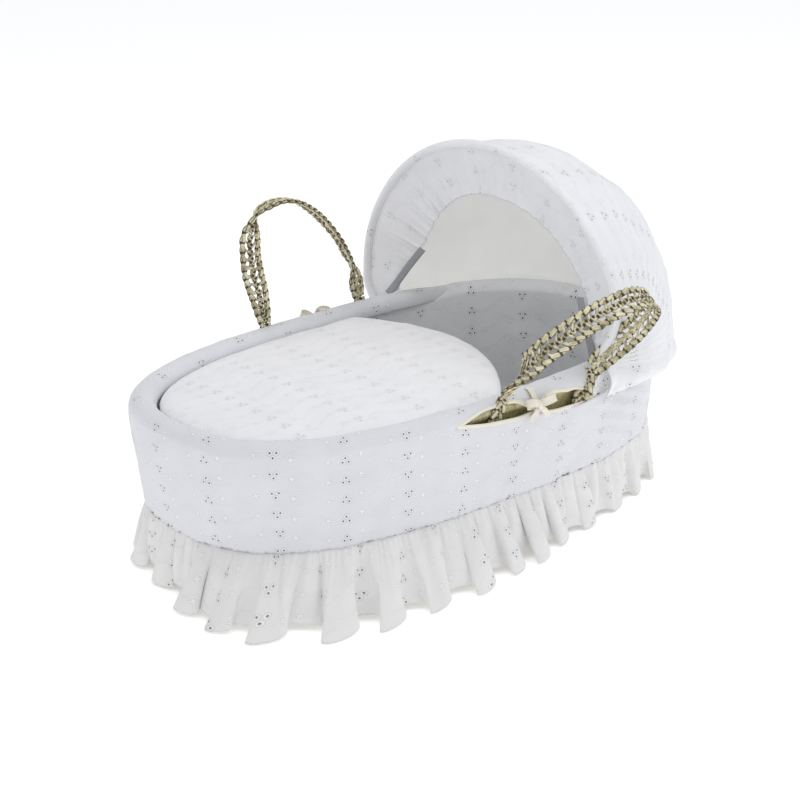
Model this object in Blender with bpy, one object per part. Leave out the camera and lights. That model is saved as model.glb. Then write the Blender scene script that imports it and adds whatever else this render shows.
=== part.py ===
"""Dressed moses basket, in metres: +X to the head end, +Z up, z = 0 under the woven base.

Every ring round the basket is drawn on the same stations, so rings set a gap apart stay a gap apart.
A ring's plan is a superellipse whose centre moves a little towards the foot from the base to the rim.
Offsets named d are measured outwards from the woven wall's outer face at rim height.
"""
import bmesh
import bpy
import numpy as np
from mathutils import Matrix

for old in list(bpy.data.objects):
    bpy.data.objects.remove(old, do_unlink=True)

# Woven shell
WALL_A = 0.4050  # half length of the wall's outer face at the rim
WALL_B = 0.2165  # half width of the same face
FOOT_A = 0.3935  # the same two at the base
FOOT_B = 0.1950
OVAL_POWER = 2.7  # superellipse power of the basket's oval
WALL_THICK = 0.007
WALL_TOP = 0.216
BASE_THICK = 0.010
LINER_Z = (0.0135, 0.2155)
LINER_D = (0.0018, 0.0063)  # the liner's two faces, inside the wall
GAP = 0.0005  # clearance between neighbouring pieces
BASE_X = 0.0  # the oval's centre at the base and at the rim: the basket leans to its foot
RIM_X = -0.0165

# Rim
COIL_D = -0.0035  # centre of the rim coil, as an offset from the wall's outer face
COIL_Z = 0.224
COIL_RADIUS = 0.0075
ROLL_INNER = 0.009  # radii of the padded roll about the coil's centre
ROLL_OUTER = 0.017
ROLL_END = 190.0  # angle where the roll tucks under on the inside, degrees
SLOT_OPEN = 66.0  # angle that the roll is drawn back to over a handle slot, degrees

# Handle slots in the outer band
SLOT_X = 0.017
SLOT_HALF = 0.148
SLOT_EASE = 0.025
LIP_DROP = 0.0155
LIP_PUSH = 0.0062

# Outer dressing
SEAM_Z = 0.083
SEAM_B = 0.2020  # half width of the wall's face at the seam
SEAM_A = 0.3985
BAND_D = 0.0110  # inner and outer faces of the band
BAND_OUT = 0.0135
BAND_MID = 0.150  # height of the bend in the band
TAPE_Z = (0.076, 0.090)
TAPE_D = (0.0105, 0.0098, 0.0086, 0.0093)
HEM_Z = 0.004
HEM_D = 0.055
FRILL_BEND = 0.050  # height at which the frill has opened by FRILL_GROW of its spread
FRILL_GROW = 0.49
FRILL_THICK = 0.002
FLUTES = 40
FLUTE_DEPTH = 0.010

# Handles
PIVOT_Y = 0.2262
PIVOT_Z = 0.243
RIBBON_THICK = 0.0065
RIBBON_FOOT = 0.018
RIBBON_WIDE = 0.034
NEAR_LEAN = 38.0  # degrees that the near handle leans outwards at rest
# how far the ribbon has turned about its own line, in degrees, at parts of the way round each loop;
# at 0 and 180 it lies in the loop's plane
NEAR_TWIST = [(0.0, 0), (0.04, 0), (0.18, -90), (0.90, -90), (0.985, -180), (1.0, -180)]
FAR_TWIST = [(0.0, 0), (0.28, 0), (0.42, 78), (0.60, 90), (0.84, 104), (0.97, 180), (1.0, 180)]
FOOT_EASE = 0.12  # the part of the loop over which the ribbon widens from its foot
# centre lines in the plane of each loop: x, height above the pivot
NEAR_LOOP = [(-0.036, 0.0), (-0.035, 0.045), (-0.030, 0.092), (-0.004, 0.124), (0.028, 0.153),
             (0.068, 0.172), (0.108, 0.174), (0.148, 0.153), (0.166, 0.114), (0.160, 0.066),
             (0.146, 0.028), (0.137, 0.0)]
FAR_LOOP = [(-0.089, 0.0), (-0.098, 0.042), (-0.109, 0.083), (-0.113, 0.120), (-0.110, 0.148),
            (-0.098, 0.170), (-0.070, 0.181), (-0.040, 0.179), (-0.012, 0.167), (0.018, 0.142),
            (0.048, 0.108), (0.070, 0.072), (0.085, 0.036), (0.094, 0.0)]

# Hood: a shell of revolution about the line across the basket at HOOD_X, HOOD_Z
HOOD_X = 0.165
HOOD_Z = 0.240
HOOD_B = 0.250
HOOD_R = 0.2695
HOOD_POWER = 2.2
HOOD_DIMPLE = 0.020  # how far the sides are drawn in to the rim at the pivots
DIMPLE_REACH = 0.060
DIMPLE_EASE = 0.15
HOOD_THICK = 0.003
FRONT_SPAN = (1.2, 45.0)  # degrees back from upright
BACK_SPAN = (40.0, 89.2)
BACK_INSET = 0.0052
PANEL_LOW = 0.012  # nearest that the panels come to the pivot line
CASING_RADIUS = 0.004
FACING_OUT = (0.2580, 0.2365)  # height and half width of the facing's outer edge
FACING_IN = (0.1970, 0.1920)
FACING_X = (0.0005, 0.0030)
SKIRT_D = (0.0150, 0.0180)
SKIRT_Z = (0.190, 0.239)

# Bedding
MATTRESS_A = 0.373
MATTRESS_B = 0.176
MATTRESS_Z = (0.0145, 0.046)
COVER_THICK = 0.0015
MATTRESS_BEVEL = 0.003
QUILT_D = -0.0235
QUILT_Z = (0.206, 0.226, 0.236)
QUILT_CROWN = 0.012
QUILT_HEAD = 0.098
QUILT_CURVE = 1.6
QUILT_CORNER = 70.0  # how sharp the two head corners are

WHITE = (0.86, 0.86, 0.86, 1.0)
WARM = (0.84, 0.83, 0.80, 1.0)
GREY = (0.62, 0.63, 0.65, 1.0)
STRAW = (0.56, 0.49, 0.28, 1.0)
CREAM = (0.86, 0.82, 0.70, 1.0)


def material(name, colour, roughness):
    """One plain material."""
    m = bpy.data.materials.new(name)
    m.use_nodes = True
    shader = m.node_tree.nodes["Principled BSDF"]
    shader.inputs["Base Color"].default_value = colour
    shader.inputs["Roughness"].default_value = roughness
    return m


def piece(name, verts, faces, colour, roughness=0.9, smooth=True):
    """One closed body: triangles facing out, and its own material."""
    mesh = bpy.data.meshes.new(name)
    mesh.from_pydata([tuple(map(float, v)) for v in verts], [], [tuple(map(int, f)) for f in faces])
    bm = bmesh.new()
    bm.from_mesh(mesh)
    bmesh.ops.triangulate(bm, faces=bm.faces[:], quad_method="FIXED", ngon_method="EAR_CLIP")
    bmesh.ops.recalc_face_normals(bm, faces=bm.faces[:])
    if bm.calc_volume(signed=True) < 0:
        bmesh.ops.reverse_faces(bm, faces=bm.faces[:])
    for face in bm.faces:
        face.smooth = smooth
    bm.to_mesh(mesh)
    bm.free()
    mesh.materials.append(material(name, colour, roughness))
    ob = bpy.data.objects.new(name, mesh)
    bpy.context.collection.objects.link(ob)
    return ob


def grid_faces(rows, columns, wrap_rows, wrap_columns):
    """Quads over a grid of points, joined round on either way that wraps."""
    r = np.arange(rows if wrap_rows else rows - 1)
    c = np.arange(columns if wrap_columns else columns - 1)
    i, j = np.meshgrid(r, c, indexing="ij")
    i2, j2 = (i + 1) % rows, (j + 1) % columns
    quads = np.stack([i * columns + j, i * columns + j2, i2 * columns + j2, i2 * columns + j], -1)
    return quads.reshape(-1, 4).tolist()


def bar(name, sections, colour, **look):
    """A body with flat ends, swept through sections of shape (stations, points, 3)."""
    n, k, _ = sections.shape
    faces = grid_faces(n, k, False, True)
    faces += [list(range(k)), list(range((n - 1) * k, n * k))]
    return piece(name, sections.reshape(-1, 3), faces, colour, **look)


def ring(name, sections, colour, **look):
    """A closed ring, swept through sections of shape (stations, points, 3)."""
    n, k, _ = sections.shape
    return piece(name, sections.reshape(-1, 3), grid_faces(n, k, True, True), colour, **look)


def superellipse(t, a, b, power):
    """Points of an oval: a and b scale the cosine and sine, each raised to 2 over the power."""
    c, s = np.cos(t), np.sin(t)
    return a * np.sign(c) * np.abs(c) ** (2 / power), b * np.sign(s) * np.abs(s) ** (2 / power)


def side_station(x):
    """The angle of the station at length x on the wall's straight side, at the rim."""
    x = x - RIM_X
    return np.arccos(np.sign(x) * (np.abs(x) / WALL_A) ** (OVAL_POWER / 2))


# stations on the straight side, close together round the handle slot and the handles' feet
side = side_station(np.array([0.30, 0.235, 0.18, 0.154, 0.146, 0.138, 0.128, 0.115, 0.09, 0.05, 0.0,
                              -0.05, -0.08, -0.095, -0.104, -0.112, -0.120, -0.15, -0.20, -0.26, -0.32]))
turn = np.linspace(0, 1, 13)
head_t = -side[0] + 2 * side[0] * turn
tail_t = side[-1] + 2 * (np.pi - side[-1]) * turn
STATIONS = np.concatenate([head_t, side[1:-1], tail_t, (2 * np.pi - side[1:-1])[::-1]])
STATION_X = superellipse(STATIONS, WALL_A, WALL_B, OVAL_POWER)[0] + RIM_X
ON_SIDE = np.abs(np.sin(STATIONS)) > 0.6


def centre(z):
    """The oval's centre at height z: it moves evenly from the base to the rim."""
    return BASE_X + (RIM_X - BASE_X) * np.clip(np.asarray(z) / WALL_TOP, 0, 1)


def slot_opening(x, on_side):
    """How open the handle slot is at each station: 0 shut, 1 fully open."""
    u = np.clip((SLOT_HALF - np.abs(x - SLOT_X)) / SLOT_EASE, 0, 1)
    return np.where(on_side, u * u * (3 - 2 * u), 0.0)


def section_ring(offsets, heights, a=WALL_A, b=WALL_B, t=STATIONS):
    """Sections of a ring whose offsets and heights, (points,) or (stations, points), go round the oval."""
    offsets = np.broadcast_to(offsets, (len(t), np.shape(offsets)[-1]))
    heights = np.broadcast_to(heights, offsets.shape)
    a = np.broadcast_to(a, offsets.shape)
    b = np.broadcast_to(b, offsets.shape)
    x, y = superellipse(t[:, None], a + offsets, b + offsets, OVAL_POWER)
    return np.stack([x + centre(heights), y, heights], -1)


def wall_size(z):
    """Half length and half width of the wall's outer face at height z."""
    f = np.asarray(z) / WALL_TOP
    return FOOT_A + (WALL_A - FOOT_A) * f, FOOT_B + (WALL_B - FOOT_B) * f


def plate(name, a, b, z, colour, **look):
    """A flat oval plate between two heights."""
    x, y = superellipse(STATIONS, a, b, OVAL_POWER)
    n = len(x)
    verts = np.concatenate([np.c_[x + centre(h), y, np.full(n, h)] for h in z])
    faces = grid_faces(len(z), n, False, True) + [list(range(n)), list(range(n * (len(z) - 1), n * len(z)))]
    return piece(name, verts, faces, colour, **look)


def tube_sections(path, radius, sides, closed=False):
    """Round sections along a path."""
    path = np.asarray(path, float)
    if closed:
        tangent = np.roll(path, -1, 0) - np.roll(path, 1, 0)
    else:
        tangent = np.gradient(path, axis=0)
    tangent /= np.linalg.norm(tangent, axis=1, keepdims=True)
    across = np.cross(tangent, np.array([0.0, 0.0, 1.0]))
    short = np.linalg.norm(across, axis=1) < 0.2
    across[short] = np.cross(tangent[short], np.array([1.0, 0.0, 0.0]))
    across /= np.linalg.norm(across, axis=1, keepdims=True)
    up = np.cross(across, tangent)
    w = np.linspace(0, 2 * np.pi, sides, endpoint=False)
    return path[:, None] + radius * (np.cos(w)[None, :, None] * across[:, None]
                                     + np.sin(w)[None, :, None] * up[:, None])


# --- woven shell ---
plate("basket_base", FOOT_A, FOOT_B, (0.0, BASE_THICK), STRAW)

wall_z = np.array([BASE_THICK + GAP, WALL_TOP, WALL_TOP, BASE_THICK + GAP])
wall_a, wall_b = wall_size(wall_z)
ring("basket_wall", section_ring(np.array([0, 0, -WALL_THICK, -WALL_THICK]), wall_z, wall_a, wall_b), STRAW)

w = np.linspace(0, 2 * np.pi, 8, endpoint=False) + np.pi / 8
ring("rim_coil", section_ring(COIL_D + COIL_RADIUS * np.cos(w), COIL_Z + COIL_RADIUS * np.sin(w)), STRAW)

# --- liner ---
floor_z = (BASE_THICK + GAP, LINER_Z[0] - GAP)
floor_a, floor_b = wall_size(floor_z[0])
plate("floor_liner", floor_a - WALL_THICK - GAP, floor_b - WALL_THICK - GAP, floor_z, WHITE)

liner_z = np.array([LINER_Z[0], LINER_Z[1], LINER_Z[1], LINER_Z[0]])
liner_a, liner_b = wall_size(liner_z)
liner_d = -WALL_THICK - np.array([LINER_D[0], LINER_D[0], LINER_D[1], LINER_D[1]])
ring("wall_liner", section_ring(liner_d, liner_z, liner_a, liner_b), GREY)

# --- rim roll, drawn back over the two handle slots ---
opening = slot_opening(STATION_X, ON_SIDE)
roll_angle = np.radians(SLOT_OPEN * opening[:, None] + (ROLL_END - SLOT_OPEN * opening[:, None])
                        * np.linspace(0, 1, 6)[None, :])
roll_d = np.concatenate([COIL_D + ROLL_OUTER * np.cos(roll_angle),
                         (COIL_D + ROLL_INNER * np.cos(roll_angle))[:, ::-1]], 1)
roll_z = np.concatenate([COIL_Z + ROLL_OUTER * np.sin(roll_angle),
                         (COIL_Z + ROLL_INNER * np.sin(roll_angle))[:, ::-1]], 1)
ring("rim_roll", section_ring(roll_d, roll_z), WHITE)

# --- outer band, with a lip under each slot ---
band_top = COIL_Z - GAP - LIP_DROP * opening
push = LIP_PUSH * opening
f_mid = (BAND_MID - SEAM_Z) / (COIL_Z - SEAM_Z)
a_mid, b_mid = (SEAM_A + (WALL_A - SEAM_A) * f_mid), (SEAM_B + (WALL_B - SEAM_B) * f_mid)
ones = np.ones(len(STATIONS))
band_d = np.stack([BAND_OUT * ones, BAND_OUT * ones, BAND_OUT + push,
                   BAND_D + push, BAND_D * ones, BAND_D * ones], 1)
band_z = np.stack([SEAM_Z * ones, BAND_MID * ones, band_top, band_top, BAND_MID * ones, SEAM_Z * ones], 1)
band_a = np.array([SEAM_A, a_mid, WALL_A, WALL_A, a_mid, SEAM_A])
band_b = np.array([SEAM_B, b_mid, WALL_B, WALL_B, b_mid, SEAM_B])
ring("outer_band", section_ring(band_d, band_z, band_a, band_b), GREY)

tape_z = np.array([TAPE_Z[0], TAPE_Z[1], TAPE_Z[1], TAPE_Z[0]])
ring("gather_tape", section_ring(np.array(TAPE_D), tape_z, SEAM_A, SEAM_B), WHITE)

# --- frill: fluted, and wider at the hem ---
ft = np.linspace(0, 2 * np.pi, FLUTES * 5, endpoint=False)
flute = np.cos(FLUTES * ft)
frill_z = np.array([SEAM_Z - GAP, FRILL_BEND, HEM_Z])
grow = np.array([0.0, FRILL_GROW, 1.0])
spread = BAND_OUT - GAP + (HEM_D - BAND_OUT) * grow
frill_out = spread[None, :] + FLUTE_DEPTH * grow[None, :] * flute[:, None]
frill_d = np.concatenate([frill_out, (frill_out - FRILL_THICK)[:, ::-1]], 1)
ring("frill", section_ring(frill_d, np.concatenate([frill_z, frill_z[::-1]]), SEAM_A, SEAM_B, ft), WARM)


# --- slot bindings, ties and bows ---
def slot_curve(side_sign, reach, d, z):
    """A curve along a slot, between the slot's centre minus and plus the reach."""
    x = SLOT_X + np.linspace(-reach, reach, 19)
    t = side_station(x)
    open_here = slot_opening(x, np.ones(len(x), bool))
    dd, zz = d(open_here), z(open_here)
    px, py = superellipse(t, WALL_A + dd, WALL_B + dd, OVAL_POWER)
    return np.stack([px + RIM_X, side_sign * py, zz], -1)


BINDING_RADIUS = 0.0015
UPPER_REACH = 0.1290
LOWER_REACH = 0.1315
LOWER_LIFT = 0.0006  # how far the lower binding stands off the band's lip
LOWER_INSET = 0.00125  # the middle of the band's thickness
BINDING_TURN = 11.0  # degrees that the upper binding sits beyond the roll's cut edge
ROLL_MIDDLE = (ROLL_INNER + ROLL_OUTER) / 2


def upper_angle(o):
    """The angle of the upper binding about the coil, for how open the slot is."""
    return np.radians(SLOT_OPEN * o - BINDING_TURN)


TIE_X = 0.052
TIE_HALF, TIE_THICK = 0.004, 0.001
# the tie's run over the roll and down the band: offset from the wall's face, height
TIE_RUN = np.array([(0.0085, 0.2400), (0.0120, 0.2362), (0.0175, 0.2280), (0.0215, 0.2170), (0.0222, 0.2020)])
BOW_D = 0.0240
BOW_Z = 0.230
BOW_THICK = 0.003
# the bow's outline about its knot: length, height
BOW = np.array([(0.003, 0.002), (0.020, 0.009), (0.024, 0.0), (0.020, -0.007), (0.004, -0.003),
                (0.012, -0.026), (0.006, -0.028), (0.0, -0.006), (-0.006, -0.028), (-0.012, -0.026),
                (-0.004, -0.003), (-0.020, -0.007), (-0.024, 0.0), (-0.020, 0.009), (-0.003, 0.002)])

for label, sign in (("near", -1), ("far", 1)):
    upper = slot_curve(sign, UPPER_REACH, lambda o: COIL_D + ROLL_MIDDLE * np.cos(upper_angle(o)),
                       lambda o: COIL_Z + ROLL_MIDDLE * np.sin(upper_angle(o)))
    bar(f"slot_binding_{label}_upper", tube_sections(upper, BINDING_RADIUS, 6), CREAM)
    lower = slot_curve(sign, LOWER_REACH, lambda o: BAND_OUT - LOWER_INSET + LIP_PUSH * o,
                       lambda o: COIL_Z - GAP - LIP_DROP * o + BINDING_RADIUS + LOWER_LIFT)
    bar(f"slot_binding_{label}_lower", tube_sections(lower, BINDING_RADIUS, 6), CREAM)

    tie_y = superellipse(side_station(np.array([TIE_X])), WALL_A, WALL_B, OVAL_POWER)[1][0]
    slope = np.gradient(TIE_RUN, axis=0)
    slope /= np.linalg.norm(slope, axis=1, keepdims=True)
    normal = np.stack([-slope[:, 1], slope[:, 0]], -1)
    corners = []
    for s, h in ((-1, -0.5), (1, -0.5), (1, 0.5), (-1, 0.5)):
        dz = TIE_RUN + normal * TIE_THICK * h
        corners.append(np.stack([np.full(len(dz), TIE_X + s * TIE_HALF), sign * (tie_y + dz[:, 0]), dz[:, 1]], -1))
    bar(f"slot_tie_{label}", np.stack(corners, 1), CREAM)

    bow_faces = [np.stack([TIE_X + BOW[:, 0], np.full(len(BOW), sign * (tie_y + BOW_D + dy)), BOW_Z + BOW[:, 1]], -1)
                 for dy in (0.0, BOW_THICK)]
    bar(f"slot_bow_{label}", np.stack(bow_faces), CREAM, smooth=False)


# --- handles ---
def smooth_path(points, count):
    """Evenly spaced points on a Catmull-Rom curve through the given ones."""
    p = np.asarray(points, float)
    p = np.concatenate([[2 * p[0] - p[1]], p, [2 * p[-1] - p[-2]]])
    u = np.linspace(0, 1, 12, endpoint=False)[:, None]
    rows = []
    for a, b, c, d in zip(p[:-3], p[1:-2], p[2:-1], p[3:]):
        rows.append(0.5 * (2 * b + (c - a) * u + (2 * a - 5 * b + 4 * c - d) * u ** 2
                           + (3 * b - a - 3 * c + d) * u ** 3))
    q = np.concatenate(rows + [p[-2:-1]])
    s = np.concatenate([[0], np.cumsum(np.linalg.norm(np.diff(q, axis=0), axis=1))])
    at = np.linspace(0, s[-1], count)
    return np.stack([np.interp(at, s, q[:, k]) for k in range(q.shape[1])], -1)


def turned(s, knots):
    """The ribbon's turn in radians at s: a smoothstep from each knot to the next."""
    at, degrees = np.array(knots, float).T
    k = np.clip(np.searchsorted(at, s, side="right") - 1, 0, len(at) - 2)
    u = (s - at[k]) / (at[k + 1] - at[k])
    return np.radians(degrees[k] + (degrees[k + 1] - degrees[k]) * u * u * (3 - 2 * u))


def handle(name, loop, out_sign, lean, knots):
    """A plaited ribbon loop standing on its pivot line, with the ribbon turned about its own line."""
    path = smooth_path(loop, 40)
    tangent = np.gradient(path, axis=0)
    tangent /= np.linalg.norm(tangent, axis=1, keepdims=True)
    s = np.linspace(0, 1, len(path))
    twist = turned(s, knots)
    from_foot = np.minimum(s, 1 - s) / FOOT_EASE
    wide = RIBBON_FOOT + (RIBBON_WIDE - RIBBON_FOOT) * np.clip(from_foot, 0, 1)
    in_plane = np.stack([tangent[:, 1], -tangent[:, 0]], -1)
    sections = []
    for sw, st in ((-0.5, -0.35), (-0.35, -0.5), (0.35, -0.5), (0.5, -0.35),
                   (0.5, 0.35), (0.35, 0.5), (-0.35, 0.5), (-0.5, 0.35)):
        along_w, along_t = sw * wide, st * RIBBON_THICK
        e = along_w * np.cos(twist) - along_t * np.sin(twist)
        out = along_w * np.sin(twist) + along_t * np.cos(twist)
        xz = path + in_plane * e[:, None]
        sections.append(np.stack([xz[:, 0], out, xz[:, 1]], -1))
    sec = np.stack(sections, 1)
    sec[0, :, 2] = sec[-1, :, 2] = 0.0
    lean = np.radians(lean)
    y = sec[..., 1] * np.cos(lean) + sec[..., 2] * np.sin(lean)
    z = -sec[..., 1] * np.sin(lean) + sec[..., 2] * np.cos(lean)
    world = np.stack([sec[..., 0], out_sign * (PIVOT_Y + y), PIVOT_Z + z], -1)
    ob = bar(name, world, STRAW)
    pivot = np.array([0.0, out_sign * PIVOT_Y, PIVOT_Z])
    ob.data.transform(Matrix.Translation(-pivot))
    ob.location = pivot
    return ob


handle("handle_near", NEAR_LOOP, -1, NEAR_LEAN, NEAR_TWIST)
handle("handle_far", FAR_LOOP, 1, 0.0, FAR_TWIST)


# rows of an anchor from its top down: how much of the sideways shift is left, height, width
ANCHOR_SHIFT = np.array([1.0, 0.2, 0.0, 0.0, 0.0])
ANCHOR_Z = np.array([PIVOT_Z - 0.0070, 0.212, 0.200, 0.172, 0.135])
ANCHOR_WIDE = np.array([RIBBON_FOOT, 0.0255, 0.0270, 0.0270, 0.0270])
ANCHOR_HANG = 0.180  # above this height the anchor hangs from its handle, and below it lies on the wall
ANCHOR_GAP = 0.0009
ANCHOR_TUCK = 0.0020  # how far the hanging part is set in by the height of the third row
BACK_TUCK = 0.0040  # the same where the wall already curves in towards the head
NEAR_SHIFT = -0.022
FAR_SHIFT = 0.004


def anchor(name, out_sign, top_x, low_x, tuck=ANCHOR_TUCK):
    """The handle's foot: it comes up between roll and band and runs down into the weave of the wall."""
    x = low_x + (top_x - low_x) * ANCHOR_SHIFT
    a, b = wall_size(ANCHOR_Z)
    edges = x[:, None] + ANCHOR_WIDE[:, None] * np.array([-0.5, 0.5]) - centre(ANCHOR_Z)[:, None]
    nearest = np.min(np.abs(edges), axis=1)
    face = b * (1 - (nearest / a) ** OVAL_POWER) ** (1 / OVAL_POWER) + RIBBON_THICK / 2 + ANCHOR_GAP
    hang = PIVOT_Y - np.array([0.0, tuck - ANCHOR_TUCK, tuck, tuck, tuck])
    y = np.where(ANCHOR_Z > ANCHOR_HANG, hang, face)
    corners = []
    for s, h in ((-0.5, -0.5), (0.5, -0.5), (0.5, 0.5), (-0.5, 0.5)):
        corners.append(np.stack([x + s * ANCHOR_WIDE, out_sign * (y + h * RIBBON_THICK), ANCHOR_Z], -1))
    return bar(name, np.stack(corners, 1), STRAW)


anchor("handle_anchor_near_front", -1, NEAR_LOOP[0][0], NEAR_LOOP[0][0] + NEAR_SHIFT)
anchor("handle_anchor_near_back", -1, NEAR_LOOP[-1][0], NEAR_LOOP[-1][0] + NEAR_SHIFT, BACK_TUCK)
anchor("handle_anchor_far_front", 1, FAR_LOOP[0][0], FAR_LOOP[0][0] + FAR_SHIFT)
anchor("handle_anchor_far_back", 1, FAR_LOOP[-1][0], FAR_LOOP[-1][0] + FAR_SHIFT)


# --- hood ---
def hood_profile(radius_out, half_width, count=15, low=PANEL_LOW, dimple=HOOD_DIMPLE):
    """Radius and half width of a hood shell from one pivot over the top to the other.

    A superellipse, drawn in by the dimple times exp(-(radius / reach) squared) near the pivots.
    """
    end = np.arccos((low / radius_out) ** (HOOD_POWER / 2))
    t = np.linspace(-end, end, count)
    y = half_width * np.sign(np.sin(t)) * np.abs(np.sin(t)) ** (2 / HOOD_POWER)
    r = radius_out * np.cos(t) ** (2 / HOOD_POWER)
    y -= np.sign(y) * dimple * np.exp(-(r / DIMPLE_REACH) ** 2) * np.minimum(1, np.abs(y) / DIMPLE_EASE)
    return r, y


def hood_panel(name, radius_out, half_width, span, colour, rows):
    """A hood panel: the profile turned about the pivot line, with an inner face one thickness in."""
    angles = np.radians(np.linspace(span[0], span[1], rows))
    faces_of = []
    for inset in (0.0, HOOD_THICK):
        r, y = hood_profile(radius_out - inset, half_width - inset)
        x = HOOD_X + r[:, None] * np.sin(angles)[None, :]
        z = HOOD_Z + r[:, None] * np.cos(angles)[None, :]
        faces_of.append(np.stack([x, np.broadcast_to(y[:, None], x.shape), z], -1))
    loop = np.concatenate([faces_of[0], faces_of[1][:, ::-1]], 1)
    return bar(name, loop, colour)


def about_hood(ob):
    """Puts the piece's origin on the hood's pivot line."""
    pivot = np.array([HOOD_X, 0.0, HOOD_Z])
    ob.data.transform(Matrix.Translation(-pivot))
    ob.location = pivot
    return ob


hood_panel("hood_back_panel", HOOD_R - BACK_INSET, HOOD_B - BACK_INSET, BACK_SPAN, WHITE, 7)
about_hood(hood_panel("hood_front_panel", HOOD_R, HOOD_B, FRONT_SPAN, WHITE, 7))

CASING_GAP = 0.0004
casing_gap = CASING_RADIUS + CASING_GAP
r, y = hood_profile(HOOD_R + casing_gap, HOOD_B + casing_gap, 25)
about_hood(bar("hood_hoop", tube_sections(np.stack([np.full(len(r), HOOD_X), y, HOOD_Z + r], -1),
                                          CASING_RADIUS, 6), WHITE))

FACING_LOW = 0.0075
ELASTIC_RADIUS = 0.0018
ELASTIC_INSET = 0.0026
outer_r, outer_y = hood_profile(*FACING_OUT, 21, FACING_LOW)
inner_r, inner_y = hood_profile(*FACING_IN, 21, FACING_LOW, 0.0)
loop = [np.stack([np.full(len(fr), HOOD_X + dx), fy, HOOD_Z + fr], -1)
        for fr, fy, dx in ((outer_r, outer_y, FACING_X[0]), (outer_r, outer_y, FACING_X[1]),
                           (inner_r, inner_y, FACING_X[1]), (inner_r, inner_y, FACING_X[0]))]
about_hood(bar("hood_facing", np.stack(loop, 1), WHITE))

elastic = np.stack([np.full(len(inner_r), HOOD_X + np.mean(FACING_X)), inner_y * (1 - ELASTIC_INSET / FACING_IN[1]),
                    HOOD_Z + inner_r * (1 - ELASTIC_INSET / FACING_IN[0])], -1)
about_hood(bar("facing_elastic", tube_sections(elastic, ELASTIC_RADIUS, 6), WHITE))

# the stays: flat strips behind the facing, from near the pivot up to the top of the side
STAY_LOW = np.array([0.199, 0.2520])
STAY_HIGH = np.array([0.148, 0.335])
STAY_HALF = 0.003
STAY_X = (0.0035, 0.0045)
for label, sign in (("near", -1), ("far", 1)):
    run = (STAY_HIGH - STAY_LOW) / np.linalg.norm(STAY_HIGH - STAY_LOW)
    cross = np.array([-run[1], run[0]]) * STAY_HALF
    strip = []
    for p in (STAY_LOW, STAY_HIGH):
        strip.append([(HOOD_X + dx, sign * (p + c)[0], (p + c)[1])
                      for dx, c in ((STAY_X[0], -cross), (STAY_X[0], cross), (STAY_X[1], cross), (STAY_X[1], -cross))])
    about_hood(bar(f"hood_stay_{label}", np.array(strip), GREY))

skirt_x = np.array([0.172, 0.20, 0.24, 0.28, 0.30])
skirt_t = np.concatenate([-side_station(skirt_x)[:-1], -side_station(skirt_x)[-1] * np.linspace(1, -1, 13),
                          side_station(skirt_x)[:-1][::-1]])
skirt = section_ring(np.array([SKIRT_D[1], SKIRT_D[1], SKIRT_D[0], SKIRT_D[0]]),
                     np.array([SKIRT_Z[0], SKIRT_Z[1], SKIRT_Z[1], SKIRT_Z[0]]), WALL_A, WALL_B, skirt_t)
bar("hood_skirt", skirt, WHITE)
HEM_ELASTIC = 0.0016
HEM_ELASTIC_DROP = 0.0024
hem = section_ring(np.array([np.mean(SKIRT_D)]), np.array([SKIRT_Z[0] - HEM_ELASTIC_DROP]), WALL_A, WALL_B, skirt_t)
bar("hood_hem_elastic", tube_sections(hem[:, 0], HEM_ELASTIC, 6), WHITE)

POCKET_X = (0.176, 0.196)
POCKET_Z = (0.198, 0.230)
POCKET_GAP = 0.0012
POCKET_THICK = 0.004

for label, sign in (("near", -1), ("far", 1)):
    py = superellipse(side_station(np.array(POCKET_X[:1])), WALL_A, WALL_B, OVAL_POWER)[1][0] + SKIRT_D[1] + POCKET_GAP
    box = np.array([[(x, sign * (py + dy), z) for x, dy in ((POCKET_X[0], 0.0), (POCKET_X[1], 0.0),
                                                            (POCKET_X[1], POCKET_THICK), (POCKET_X[0], POCKET_THICK))]
                    for z in POCKET_Z])
    bar(f"hood_pocket_{label}", box, WHITE, smooth=False)

# --- bedding ---
def pad_ring(inset, z):
    """The mattress's outline, drawn in by the inset, at height z."""
    x, y = superellipse(STATIONS, MATTRESS_A - inset, MATTRESS_B - inset, OVAL_POWER)
    return np.stack([x + BASE_X, y, np.full(len(x), z)], -1)


low, high = MATTRESS_Z
outer = [pad_ring(0.0, low), pad_ring(0.0, high - MATTRESS_BEVEL), pad_ring(MATTRESS_BEVEL, high)]
inner = [pad_ring(COVER_THICK + MATTRESS_BEVEL, high - COVER_THICK),
         pad_ring(COVER_THICK, high - COVER_THICK - MATTRESS_BEVEL), pad_ring(COVER_THICK, low)]
# the shell runs up the outside, over the top, back down the inside, and is joined round the bottom edge
n = len(STATIONS)
rows = np.stack([inner[0], inner[1], inner[2], outer[0], outer[1], outer[2]])
faces = grid_faces(6, n, False, True) + [list(range(n)), list(range(5 * n, 6 * n))]
piece("mattress_cover", rows.reshape(-1, 3), faces, WHITE)
core = COVER_THICK + GAP
foam = [pad_ring(core, low), pad_ring(core, high - core - MATTRESS_BEVEL)]
piece("mattress_foam", np.concatenate(foam), grid_faces(2, n, False, True) + [list(range(n)), list(range(n, 2 * n))],
      WHITE)


def quilt_outline(d, count=72):
    """The coverlet's plan: the oval inside the roll, blended by a soft minimum into a curved head edge."""
    t = np.linspace(0, 2 * np.pi, count, endpoint=False)
    x, y = superellipse(t, WALL_A + QUILT_D + d, WALL_B + QUILT_D + d, OVAL_POWER)
    x = x + RIM_X
    head = QUILT_HEAD + d - QUILT_CURVE * y ** 2
    return -np.log(np.exp(-x * QUILT_CORNER) + np.exp(-head * QUILT_CORNER)) / QUILT_CORNER, y


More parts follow.
